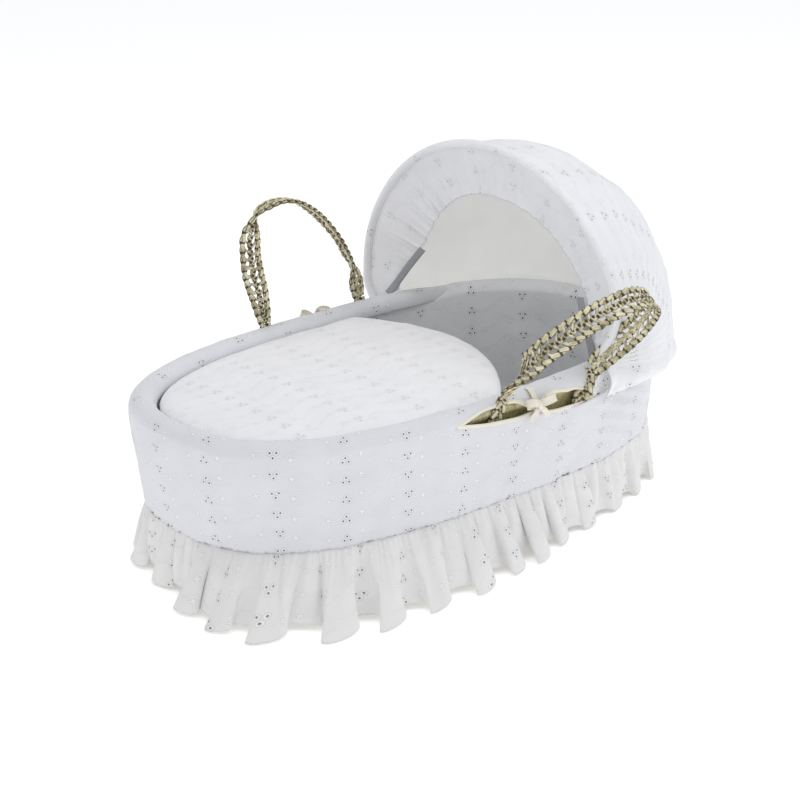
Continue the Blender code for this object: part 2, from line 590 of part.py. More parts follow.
QUILT_BEVEL = 0.008
QUILT_MIDDLE = -0.14
CROWN_EDGE = 0.055  # where the crown has reached CROWN_SHARE of its height, inside the edge
CROWN_SHARE = 0.75
levels = []
for d, z in ((-QUILT_BEVEL, QUILT_Z[0]), (0.0, QUILT_Z[0] + QUILT_BEVEL), (0.0, QUILT_Z[1]),
             (-QUILT_BEVEL, QUILT_Z[2]), (-CROWN_EDGE, QUILT_Z[2] + QUILT_CROWN * CROWN_SHARE)):
    qx, qy = quilt_outline(d)
    levels.append(np.stack([qx, qy, np.full(len(qx), z)], -1))
n = len(levels[0])
verts = np.concatenate(levels + [np.array([[QUILT_MIDDLE, 0.0, QUILT_Z[2] + QUILT_CROWN]])])
faces = grid_faces(len(levels), n, False, True) + [list(range(n))]
top = (len(levels) - 1) * n
faces += [[top + i, top + (i + 1) % n, len(levels) * n] for i in range(n)]
piece("coverlet", verts, faces, WHITE)
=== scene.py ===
"""A dressed moses basket: woven palm basket, padded cotton dressing, folding hood and bedding."""

import bpy
import numpy as np
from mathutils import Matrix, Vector


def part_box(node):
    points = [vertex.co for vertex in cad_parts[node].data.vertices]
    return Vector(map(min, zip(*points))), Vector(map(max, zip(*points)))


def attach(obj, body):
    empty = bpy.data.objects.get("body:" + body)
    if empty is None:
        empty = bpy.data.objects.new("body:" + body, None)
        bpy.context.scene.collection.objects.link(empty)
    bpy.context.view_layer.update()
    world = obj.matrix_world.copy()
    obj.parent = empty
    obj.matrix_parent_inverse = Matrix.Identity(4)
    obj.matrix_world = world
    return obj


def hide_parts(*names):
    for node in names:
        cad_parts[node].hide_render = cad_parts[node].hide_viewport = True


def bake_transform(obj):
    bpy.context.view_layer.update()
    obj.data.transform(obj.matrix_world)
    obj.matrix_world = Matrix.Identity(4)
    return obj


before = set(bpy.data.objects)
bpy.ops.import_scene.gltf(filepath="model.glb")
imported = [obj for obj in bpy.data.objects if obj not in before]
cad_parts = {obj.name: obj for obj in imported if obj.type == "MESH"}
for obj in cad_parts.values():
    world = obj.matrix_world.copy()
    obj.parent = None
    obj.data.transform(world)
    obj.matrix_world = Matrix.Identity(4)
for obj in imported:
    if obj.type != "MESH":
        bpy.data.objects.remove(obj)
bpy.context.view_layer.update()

# ---------------------------------------------------------------- studio
# A white infinity cove: a broad soft light overhead, a stronger one high on the near side at the
# head end, a weak one from the foot, and an even white surround. The camera stands at the foot's
# near corner, a little above the rim.


def linear(hex_colour):
    """sRGB hex to linear: v / 12.92 below 0.04045, else ((v + 0.055) / 1.055) to the power 2.4."""
    v = np.array([int(hex_colour[i:i + 2], 16) for i in (1, 3, 5)]) / 255
    v = np.where(v <= 0.04045, v / 12.92, ((v + 0.055) / 1.055) ** 2.4)
    return (*map(float, v), 1.0)


def node(tree, kind, inputs=None, **settings):
    """Adds a node, sets its properties, and sets or links its inputs."""
    new = tree.nodes.new(kind)
    for key, value in settings.items():
        setattr(new, key, value)
    for key, value in (inputs or {}).items():
        if isinstance(value, bpy.types.Node):
            value = value.outputs[0]
        if isinstance(value, bpy.types.NodeSocket):
            tree.links.new(value, new.inputs[key])
        else:
            new.inputs[key].default_value = value
    return new


scene = bpy.context.scene
scene.view_settings.view_transform = "Standard"
world = bpy.data.worlds.new("studio_surround")
scene.world = world
world.use_nodes = True
world.node_tree.nodes["Background"].inputs["Color"].default_value = linear("#fafbff")
world.node_tree.nodes["Background"].inputs["Strength"].default_value = 0.62


def soft_light(name, place, aim, size, watts, colour):
    """A square area light at a place, turned to face a point."""
    data = bpy.data.lights.new(name, "AREA")
    data.size = size
    data.energy = watts
    data.color = linear(colour)[:3]
    lamp = bpy.data.objects.new(name, data)
    lamp.location = place
    lamp.rotation_euler = (Vector(aim) - Vector(place)).to_track_quat("-Z", "Y").to_euler()
    scene.collection.objects.link(lamp)


soft_light("top_light", (-0.3, 0.2, 2.4), (0.0, 0.0, 0.2), 1.8, 11, "#fffefc")
soft_light("right_light", (1.3, -1.5, 2.3), (0.1, 0.0, 0.25), 1.6, 17, "#fbfcff")
soft_light("front_light", (-2.9, -0.9, 0.8), (0.2, 0.0, 0.30), 1.6, 4, "#fbfcff")

VIEW_TURN = np.radians(-41.5)
VIEW_RISE = np.radians(21.46)
VIEW_DISTANCE = 3.0
VIEW_TARGET = np.array([-0.024, -0.0022, 0.1709])
away = np.array([np.sin(VIEW_TURN) * np.cos(VIEW_RISE), -np.cos(VIEW_TURN) * np.cos(VIEW_RISE),
                 np.sin(VIEW_RISE)])
camera = bpy.data.objects.new("camera", bpy.data.cameras.new("camera"))
camera.data.lens = 93.9
camera.data.sensor_width = 36.0
camera.location = VIEW_TARGET + away * VIEW_DISTANCE
camera.rotation_euler = Vector(-away).to_track_quat("-Z", "Y").to_euler()
scene.collection.objects.link(camera)
scene.camera = camera


def surface(name, points, uv=None, wrap=False, flip=False, keep=None):
    """A mesh over a grid of points (rows, columns, 3), with a metre-scaled map named Cloth.

    wrap joins the last column to the first; the map then has one column more than the points.
    """
    rows, columns = points.shape[:2]
    last = columns if wrap else columns - 1
    i, j = np.meshgrid(np.arange(rows - 1), np.arange(last), indexing="ij")
    j2 = (j + 1) % columns
    quads = np.stack([i * columns + j, i * columns + j2, (i + 1) * columns + j2, (i + 1) * columns + j], -1)
    corner_uv = None
    if uv is not None:
        corner_uv = np.stack([uv[i, j], uv[i, j + 1], uv[i + 1, j + 1], uv[i + 1, j]], 2)
        corner_uv = corner_uv.reshape(-1, 4, 2)
    quads = quads.reshape(-1, 4)
    if keep is not None:
        quads = quads[keep]
        corner_uv = corner_uv[keep] if corner_uv is not None else None
    if flip:
        quads = quads[:, ::-1]
        corner_uv = corner_uv[:, ::-1] if corner_uv is not None else None
    return mesh_object(name, points.reshape(-1, 3), quads, corner_uv)


def mesh_object(name, verts, quads, corner_uv=None):
    """A smooth-shaded object of quads, with its unused points left out."""
    used, quads = np.unique(quads, return_inverse=True)
    quads = quads.reshape(-1, 4)
    mesh = bpy.data.meshes.new(name)
    mesh.vertices.add(len(used))
    mesh.vertices.foreach_set("co", np.asarray(verts, np.float32)[used].ravel())
    mesh.loops.add(quads.size)
    mesh.loops.foreach_set("vertex_index", quads.astype(np.int32).ravel())
    mesh.polygons.add(len(quads))
    mesh.polygons.foreach_set("loop_start", np.arange(0, quads.size, 4, dtype=np.int32))
    mesh.polygons.foreach_set("use_smooth", np.ones(len(quads), bool))
    mesh.update(calc_edges=True)
    if corner_uv is not None:
        layer = mesh.uv_layers.new(name="Cloth")
        layer.data.foreach_set("uv", np.asarray(corner_uv, np.float32).ravel())
    mesh.validate()
    ob = bpy.data.objects.new(name, mesh)
    scene.collection.objects.link(ob)
    return ob


floor_half = 6.0
floor_grid = np.stack(np.meshgrid([-floor_half, floor_half], [-floor_half, floor_half]), -1)
floor = surface("studio_floor", np.concatenate([floor_grid, np.full((2, 2, 1), -0.0005)], -1))
paper = bpy.data.materials.new("white_background_paper")
paper.use_nodes = True
paper_shader = paper.node_tree.nodes["Principled BSDF"]
paper_shader.inputs["Base Color"].default_value = linear("#ffffff")
paper_shader.inputs["Roughness"].default_value = 0.95
paper_shader.inputs["Emission Color"].default_value = linear("#ffffff")
paper_shader.inputs["Emission Strength"].default_value = 0.35
floor.data.materials.append(paper)

# ---------------------------------------------------------------- woven basket
# Base, wall and rim coil of dried palm leaf, coiled and bound. The dressing hides all but the coil,
# which shows through the handle slots as a ribbed straw roll.
wall_low, wall_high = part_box("basket_wall")
WALL_A = float(wall_high[0] - wall_low[0]) / 2
WALL_B = float(wall_high[1])
RIM_X = float(wall_high[0] + wall_low[0]) / 2
OVAL_POWER = 2.7


def centre(z):
    """The oval's centre at height z: it moves evenly towards the foot, from the base up to the rim."""
    return RIM_X * np.clip(z / wall_high[2], 0, 1)


def oval(t, d, z, a=WALL_A, b=WALL_B):
    """A superellipse: half axes a + d and b + d times cosine and sine, each to the power 2 / 2.7."""
    c, s = np.cos(t), np.sin(t)
    power = 2 / OVAL_POWER
    return ((a + d) * np.sign(c) * np.abs(c) ** power + centre(z), (b + d) * np.sign(s) * np.abs(s) ** power)


def side_angle(x):
    """The oval's angle at length x along its straight side, at the rim."""
    x = x - RIM_X
    return np.arccos(np.sign(x) * (np.abs(x) / WALL_A) ** (OVAL_POWER / 2))


def even_stations(count):
    """Angles that step evenly along the oval, and the distance along it at each."""
    dense = np.linspace(0, 2 * np.pi, 40001)
    x, y = oval(dense, 0.0, 0.224)
    run = np.concatenate([[0], np.cumsum(np.hypot(np.diff(x), np.diff(y)))])
    at = np.linspace(0, run[-1], count, endpoint=False)
    return np.interp(at, run, dense), at, run[-1]


def palm_leaf(name, light, dark, plaited=False):
    """Dried palm leaf: satin, slightly waxy strips with fine fibres along them; plaited, it has painted
    shade.

    Fibres are about 0.4 mm apart in life, drawn 0.9 mm apart so that they show. On plaited leaf the
    attribute crease is 1 where a strand dives under its neighbour; there dark brown is painted in as shade.
    """
    m = bpy.data.materials.new(name)
    m.use_nodes = True
    tree = m.node_tree
    shader = tree.nodes["Principled BSDF"]
    body = node(tree, "ShaderNodeTexCoord").outputs["Object"]
    place, stretch = body, (300.0, 300.0, 500.0)
    if plaited:
        place, stretch = node(tree, "ShaderNodeUVMap", uv_map="Cloth"), (60.0, 1100.0, 1.0)
    scaled = node(tree, "ShaderNodeVectorMath", {0: place, 1: stretch}, operation="MULTIPLY")
    fibre = node(tree, "ShaderNodeTexNoise", {"Vector": scaled, "Scale": 1.0, "Detail": 3.0,
            "Roughness": 0.6})
    patch = node(tree, "ShaderNodeTexNoise", {"Vector": body, "Scale": 60.0, "Detail": 2.0})
    mixed = node(tree, "ShaderNodeMath", {0: fibre, 1: 0.55}, operation="MULTIPLY")
    tone = node(tree, "ShaderNodeMath", {0: patch, 1: 0.75, 2: mixed}, operation="MULTIPLY_ADD")
    ramp = node(tree, "ShaderNodeValToRGB", {"Fac": tone})
    ramp.color_ramp.elements[0].position = 0.42
    ramp.color_ramp.elements[0].color = linear(dark)
    ramp.color_ramp.elements[1].position = 0.76
    ramp.color_ramp.elements[1].color = linear(light)
    colour = ramp
    if plaited:
        # Painted shade: dark brown mixed in where the crease attribute marks a strand's edges and its dives
        # under.
        crease = node(tree, "ShaderNodeAttribute", attribute_name="crease").outputs["Fac"]
        deep = node(tree, "ShaderNodeMapRange", {"Value": crease, "From Min": 0.28, "From Max": 0.92},
                    interpolation_type="SMOOTHSTEP")
        colour = node(tree, "ShaderNodeMixRGB", {"Fac": deep, "Color1": ramp, "Color2": linear("#3a2f18")})
    tree.links.new(colour.outputs[0], shader.inputs["Base Color"])
    rough = node(tree, "ShaderNodeMapRange", {"Value": patch, "To Min": 0.42, "To Max": 0.62})
    tree.links.new(rough.outputs[0], shader.inputs["Roughness"])
    bump = node(tree, "ShaderNodeBump", {"Height": fibre, "Strength": 0.35, "Distance": 0.0006})
    tree.links.new(bump.outputs[0], shader.inputs["Normal"])
    return m


weave_leaf = palm_leaf("dried_palm_leaf_wall", "#d6cb98", "#8f8250")
for name in ("basket_base", "basket_wall"):
    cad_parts[name].data.materials.clear()
    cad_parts[name].data.materials.append(weave_leaf)

COIL_D, COIL_Z, COIL_RADIUS = -0.0035, 0.224, 0.0068
RIB_PITCH = 0.0065
coil_t, coil_run, coil_length = even_stations(1300)
ribs = round(coil_length / RIB_PITCH)
w = np.linspace(0, 2 * np.pi, 12, endpoint=False)[:, None]
rib_wave = np.abs(np.sin(np.pi * ribs * coil_run[None, :] / coil_length + w * 0.5))
coil_fat = 1 - np.clip((oval(coil_t, 0.0, COIL_Z)[0] - 0.17) / 0.05, 0, 1)[None, :]
radius = (COIL_RADIUS + 0.0026 * coil_fat) * (0.88 + 0.15 * rib_wave ** 0.5)
cx, cy = oval(coil_t[None, :], COIL_D + 0.0022 * coil_fat + radius * np.cos(w), COIL_Z)
coil_points = np.stack([cx, cy, COIL_Z + radius * np.sin(w)], -1)
coil_points = np.concatenate([coil_points, coil_points[:1]], 0)
coil = surface("rim_coil_bound", coil_points, wrap=True, flip=True)
coil.data.materials.append(palm_leaf("dried_palm_leaf_binding", "#f0e8bf", "#a2945c"))
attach(coil, "basket")
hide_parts("rim_coil")

# ---------------------------------------------------------------- handles
# Each handle is an open plait of palm leaf: a twisted rope along each edge, a three-strand braid down
# the middle, and slanting cross strands between. Its ends go down through the slots into the wall.
PIVOT_Y, PIVOT_Z = 0.2262, 0.243
NEAR_LEAN = np.radians(38.0)
NEAR_LOOP = [(-0.036, 0.0), (-0.035, 0.045), (-0.030, 0.092), (-0.004, 0.124), (0.028, 0.153),
             (0.068, 0.172), (0.108, 0.174), (0.148, 0.153), (0.166, 0.114), (0.160, 0.066),
             (0.146, 0.028), (0.137, 0.0)]
FAR_LOOP = [(-0.089, 0.0), (-0.098, 0.042), (-0.109, 0.083), (-0.113, 0.120), (-0.110, 0.148),
            (-0.098, 0.170), (-0.070, 0.181), (-0.040, 0.179), (-0.012, 0.167), (0.018, 0.142),
            (0.048, 0.108), (0.070, 0.072), (0.085, 0.036), (0.094, 0.0)]
# How far the ribbon has turned about its own line, in degrees, at parts of the way round the loop.
NEAR_TWIST = [(0.0, 0), (0.03, 0), (0.20, -90), (1.0, -90)]
FAR_TWIST = [(0.0, 0), (0.28, 0), (0.42, 78), (0.60, 90), (0.84, 104), (0.97, 180), (1.0, 180)]
RIBBON_FOOT, RIBBON_WIDE = 0.019, 0.037
BRAID_PITCH = 0.032
CROSS_PITCH = 0.0128
handle_leaf = palm_leaf("dried_palm_leaf_plait", "#eee7c4", "#8f8455", plaited=True)


def smooth_path(points, count):
    """Evenly spaced points on a Catmull-Rom curve through the given ones."""
    p = np.asarray(points, float)
    p = np.concatenate([[2 * p[0] - p[1]], p, [2 * p[-1] - p[-2]]])
    u = np.linspace(0, 1, 16, endpoint=False)[:, None, None]
    a, b, c, d = p[None, :-3], p[None, 1:-2], p[None, 2:-1], p[None, 3:]
    q = 0.5 * (2 * b + (c - a) * u + (2 * a - 5 * b + 4 * c - d) * u ** 2 + (3 * b - a - 3 * c + d) * u ** 3)
    q = np.concatenate([q.transpose(1, 0, 2).reshape(-1, p.shape[1]), p[-2:-1]])
    s = np.concatenate([[0], np.cumsum(np.linalg.norm(np.diff(q, axis=0), axis=1))])
    at = np.linspace(0, s[-1], count)
    return np.stack([np.interp(at, s, q[:, k]) for k in range(q.shape[1])], -1), s[-1]


def unit(v):
    """Vectors scaled to length one."""
    return v / np.linalg.norm(v, axis=-1, keepdims=True)


def strand(path, flat_side, wide, thick, sides=8, under=None):
    """A flat strand: an ellipse, wide by thick, carried along a path and lying along flat_side.

    Returns its rings, its map, and its crease, a painted shade value: the cosine of the ring's angle
    squared, for the strand's two edges, or how far it lies under, whichever is more.
    """
    tangent = unit(np.gradient(path, axis=0))
    normal = unit(np.cross(tangent, flat_side))
    across = np.cross(normal, tangent)
    n = len(path)
    ends = np.minimum(np.arange(n), np.arange(n)[::-1])
    taper = np.clip(ends / 1.5, 0.02, 1.0)[:, None, None]
    wide = np.broadcast_to(wide, n)[:, None, None]
    a = np.linspace(0, 2 * np.pi, sides, endpoint=False)[None, :, None]
    ring = path[:, None] + taper * (wide / 2 * np.cos(a) * across[:, None] + thick / 2 * np.sin(a)
            * normal[:, None])
    run = np.concatenate([[0], np.cumsum(np.linalg.norm(np.diff(path, axis=0), axis=1))])
    uv = np.stack(np.meshgrid(run, np.linspace(0, 0.009, sides + 1), indexing="ij"), -1)
    # Painted shade: darker towards the strand's two edges.
    edge = np.broadcast_to(np.cos(a[..., 0]) ** 4 * 0.9, (n, sides))
    crease = edge if under is None else np.maximum(edge, under[:, None])
    return ring, uv, crease


def gather(name, grids):
    """One mesh from many wrapped grids, with their maps and their crease values of painted shade."""
    verts, quads, uvs, painted_shade, start = [], [], [], [], 0
    for points, uv, crease in grids:
        r, c = points.shape[:2]
        i, j = np.meshgrid(np.arange(r - 1), np.arange(c), indexing="ij")
        j2 = (j + 1) % c
        q = np.stack([i * c + j, i * c + j2, (i + 1) * c + j2, (i + 1) * c + j], -1)[..., ::-1]
        k = np.stack([uv[i, j], uv[i, j + 1], uv[i + 1, j + 1], uv[i + 1, j]], 2)[:, :, ::-1]
        verts.append(points.reshape(-1, 3))
        quads.append(q.reshape(-1, 4) + start)
        uvs.append(k.reshape(-1, 4, 2))
        painted_shade.append(crease.ravel())
        start += r * c
    ob = mesh_object(name, np.concatenate(verts), np.concatenate(quads), np.concatenate(uvs))
    attribute = ob.data.attributes.new("crease", "FLOAT", "POINT")
    attribute.data.foreach_set("value", np.concatenate(painted_shade).astype(np.float32))
    return ob


def open_plait(centre_line, across, normal, wide, length, seed):
    """Two twisted edge ropes, a middle braid and the strands between them.

    In an edge rope, strand k of two lies at R cos(p) across and R sin(p) up. In the braid, strand k of
    three lies at A sin(p) across and B sin(2p) up. p is 2 pi (s / pitch + k / count).
    """
    random = np.random.default_rng(seed)
    s = np.linspace(0, length, len(centre_line))
    edge = wide / 2 - 0.0046
    grids = []
    for row in (-1, 1):
        middle = centre_line + across * (row * edge)[:, None]
        for k in range(2):
            p = row * 2 * np.pi * (s / (CROSS_PITCH * 2) + k / 2 + row * 0.2) + 0.35 * np.sin(s * 60 + row)
            swell = 1 + 0.16 * np.sin(s * 150 + k * 3 + seed)
            path = middle + across * (0.0021 * np.cos(p))[:, None] + normal * (0.0019 * np.sin(p))[:, None]
            # Painted shade: each rope strand darkens where it passes under the other.
            under = np.abs(np.cos(p)) ** 8
            grids.append(strand(path, across, 0.0064 * swell, 0.0042, 8, under))
    for k in range(3):
        p = 2 * np.pi * (s / BRAID_PITCH + k / 3)
        swell = 1 + 0.15 * np.sin(s * 130 + k * 2 + seed)
        path = centre_line + across * (0.0024 * np.sin(p))[:, None] + normal * (0.0016 * np.sin(2 * p))[:,
                None]
        # Painted shade: each braid strand darkens where it dips under.
        under = np.clip(-np.sin(2 * p), 0, 1) ** 2
        grids.append(strand(path, across, 0.0048 * swell, 0.0030, 8, under))
    count = int(length / CROSS_PITCH)
    for side in (-1, 1):
        for n in range(count):
            at = (n + 0.5 + 0.25 * side) / count + 0.10 * random.uniform(-1, 1) / count
            f = np.linspace(0, 1, 9)
            reach = 0.0040 / length
            where = np.clip(at, 0.004 + reach, 0.996 - reach) + (2 * f - 1) * reach
            mid, acr, nor = [np.stack([np.interp(where, s / length, v[:, k]) for k in range(3)], -1)
                             for v in (centre_line, across, normal)]
            offset = side * np.interp(where, s / length, edge) * (f * 1.08 - 0.04)
            path = mid + acr * offset[:, None] + nor * (0.0026 * np.cos(np.pi * f) * (-1) ** n)[:, None]
            lie = unit(np.gradient(mid, axis=0))
            # Painted shade: each cross strand darkens towards its ends, where it tucks under.
            grids.append(strand(path, lie, 0.0046 * random.uniform(0.8, 1.15), 0.0026, 6, np.abs(2 * f
                    - 1) ** 3 * 0.8))
    return grids


def turned(s, knots):
    """The ribbon's turn in radians at s: a smoothstep from each knot to the next."""
    at, degrees = np.array(knots, float).T
    k = np.clip(np.searchsorted(at, s, side="right") - 1, 0, len(at) - 2)
    u = (s - at[k]) / (at[k + 1] - at[k])
    return np.radians(degrees[k] + (degrees[k + 1] - degrees[k]) * u * u * (3 - 2 * u))


def handle(name, loop, side, lean, knots, back_foot, seed):
    """The ribbon's frame along its loop: it stands on the pivot line, leans out, and turns about itself."""
    path, length = smooth_path(loop, 620)
    tangent = unit(np.gradient(path, axis=0))
    s = np.linspace(0, 1, len(path))
    twist = turned(s, knots)
    foot = np.clip(np.minimum(s, 1 - s) / 0.12, 0, 1)
    end_width = np.where(s > 0.5, back_foot, RIBBON_FOOT)
    wide = end_width + (RIBBON_WIDE - end_width) * foot ** 0.7
    flat = np.stack([tangent[:, 1] * np.cos(twist), np.sin(twist), -tangent[:, 0] * np.cos(twist)], -1)
    face = np.stack([-tangent[:, 1] * np.sin(twist), np.cos(twist), tangent[:, 0] * np.sin(twist)], -1)
    loop_line = np.stack([path[:, 0], np.zeros(len(path)), path[:, 1]], -1)

    def stand(v):
        """Leans a vector out from the loop's own plane."""
        y = v[:, 1] * np.cos(lean) + v[:, 2] * np.sin(lean)
        z = -v[:, 1] * np.sin(lean) + v[:, 2] * np.cos(lean)
        return np.stack([v[:, 0], side * y, z], -1)

    loop_line = stand(loop_line) + np.array([0.0, side * PIVOT_Y, PIVOT_Z])
    ob = gather(f"{name}_plait", open_plait(loop_line, stand(flat), stand(face), wide, length, seed))
    ob.data.materials.append(handle_leaf)
    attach(ob, name)
    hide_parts(name)


handle("handle_near", NEAR_LOOP, -1, NEAR_LEAN, NEAR_TWIST, 0.026, 3)
handle("handle_far", FAR_LOOP, 1, 0.0, FAR_TWIST, RIBBON_FOOT, 5)

for label, side, top_x, shift, seed in (("near_front", -1, NEAR_LOOP[0][0], -0.022, 7),
                                        ("near_back", -1, NEAR_LOOP[-1][0], -0.022, 8),
                                        ("far_front", 1, FAR_LOOP[0][0], 0.004, 9),
                                        ("far_back", 1, FAR_LOOP[-1][0], 0.004, 10)):
    foot_path = [(top_x, PIVOT_Y, PIVOT_Z - 0.0005), (top_x + shift * 0.8, PIVOT_Y, 0.212),
                 (top_x + shift, PIVOT_Y - 0.002, 0.200), (top_x + shift, PIVOT_Y - 0.0105, 0.172),
                 (top_x + shift, PIVOT_Y - 0.0145, 0.137)]
    path, length = smooth_path(foot_path, 120)
    path[:, 1] *= side
    tangent = unit(np.gradient(path, axis=0))
    face = unit(np.cross(np.tile([1.0, 0, 0], (len(path), 1)), tangent))
    down = np.linspace(0, 1, len(path))
    start_width, start_turn = (0.026, -90) if label == "near_back" else (RIBBON_FOOT, 0)
    wide = np.interp(down, [0, 0.6, 1], [start_width, 0.0250, 0.0265])
    turn = turned(down, [(0.0, start_turn), (0.08, start_turn), (0.55, 0), (1.0, 0)])[:, None]
    across = np.cross(tangent, face)
    across, face = across * np.cos(turn) + face * np.sin(turn), face * np.cos(turn) - across * np.sin(turn)
    foot_ob = gather(f"handle_foot_{label}", open_plait(path, across, face, wide, length, seed))
    foot_ob.data.materials.append(handle_leaf)
    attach(foot_ob, "basket")
    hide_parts(f"handle_anchor_{label}")

# ---------------------------------------------------------------- outer dressing
# One cotton cover: a smooth band up the outside, over the wadded roll on the rim and down inside.
# It is slit along the outer shoulder of the roll on both sides, where the handles come out.
SEAM_A, SEAM_B, SEAM_Z = 0.3985, 0.2020, 0.083
ROLL_RADIUS, HEAD_RADIUS = 0.0182, 0.0120
BAND_OUT = COIL_D + ROLL_RADIUS
BAND_FOOT_OUT = 0.0135
ROLL_END = 192.0
SLOT_X, SLOT_HALF, SLOT_EASE, SLOT_OPEN = 0.014, 0.136, 0.060, 38.0
LIP_DROP, LIP_PUSH, SLOT_FALL = 0.0050, 0.0050, 0.026
TIE_X, TIE_PINCH, TIE_REACH = 0.016, 0.70, 0.024


def smooth(x):
    """0 below 0, 1 above 1, and a smoothstep between."""
    x = np.clip(x, 0, 1)
    return x * x * (3 - 2 * x)


def ripple(u, v, seed, sizes, heights):
    """Soft random unevenness: a sum of sines of random direction and phase, a few for each size."""
    random = np.random.default_rng(seed)
    total = np.zeros(np.broadcast(u, v).shape)
    for size, height in zip(sizes, heights):
        for _ in range(5):
            turn, phase = random.uniform(0, np.pi), random.uniform(0, 2 * np.pi)
            k = 2 * np.pi / (size * random.uniform(0.75, 1.35))
            total = total + height / 2.2 * np.sin(k * (u * np.cos(turn) + v * np.sin(turn)) + phase)
    return total


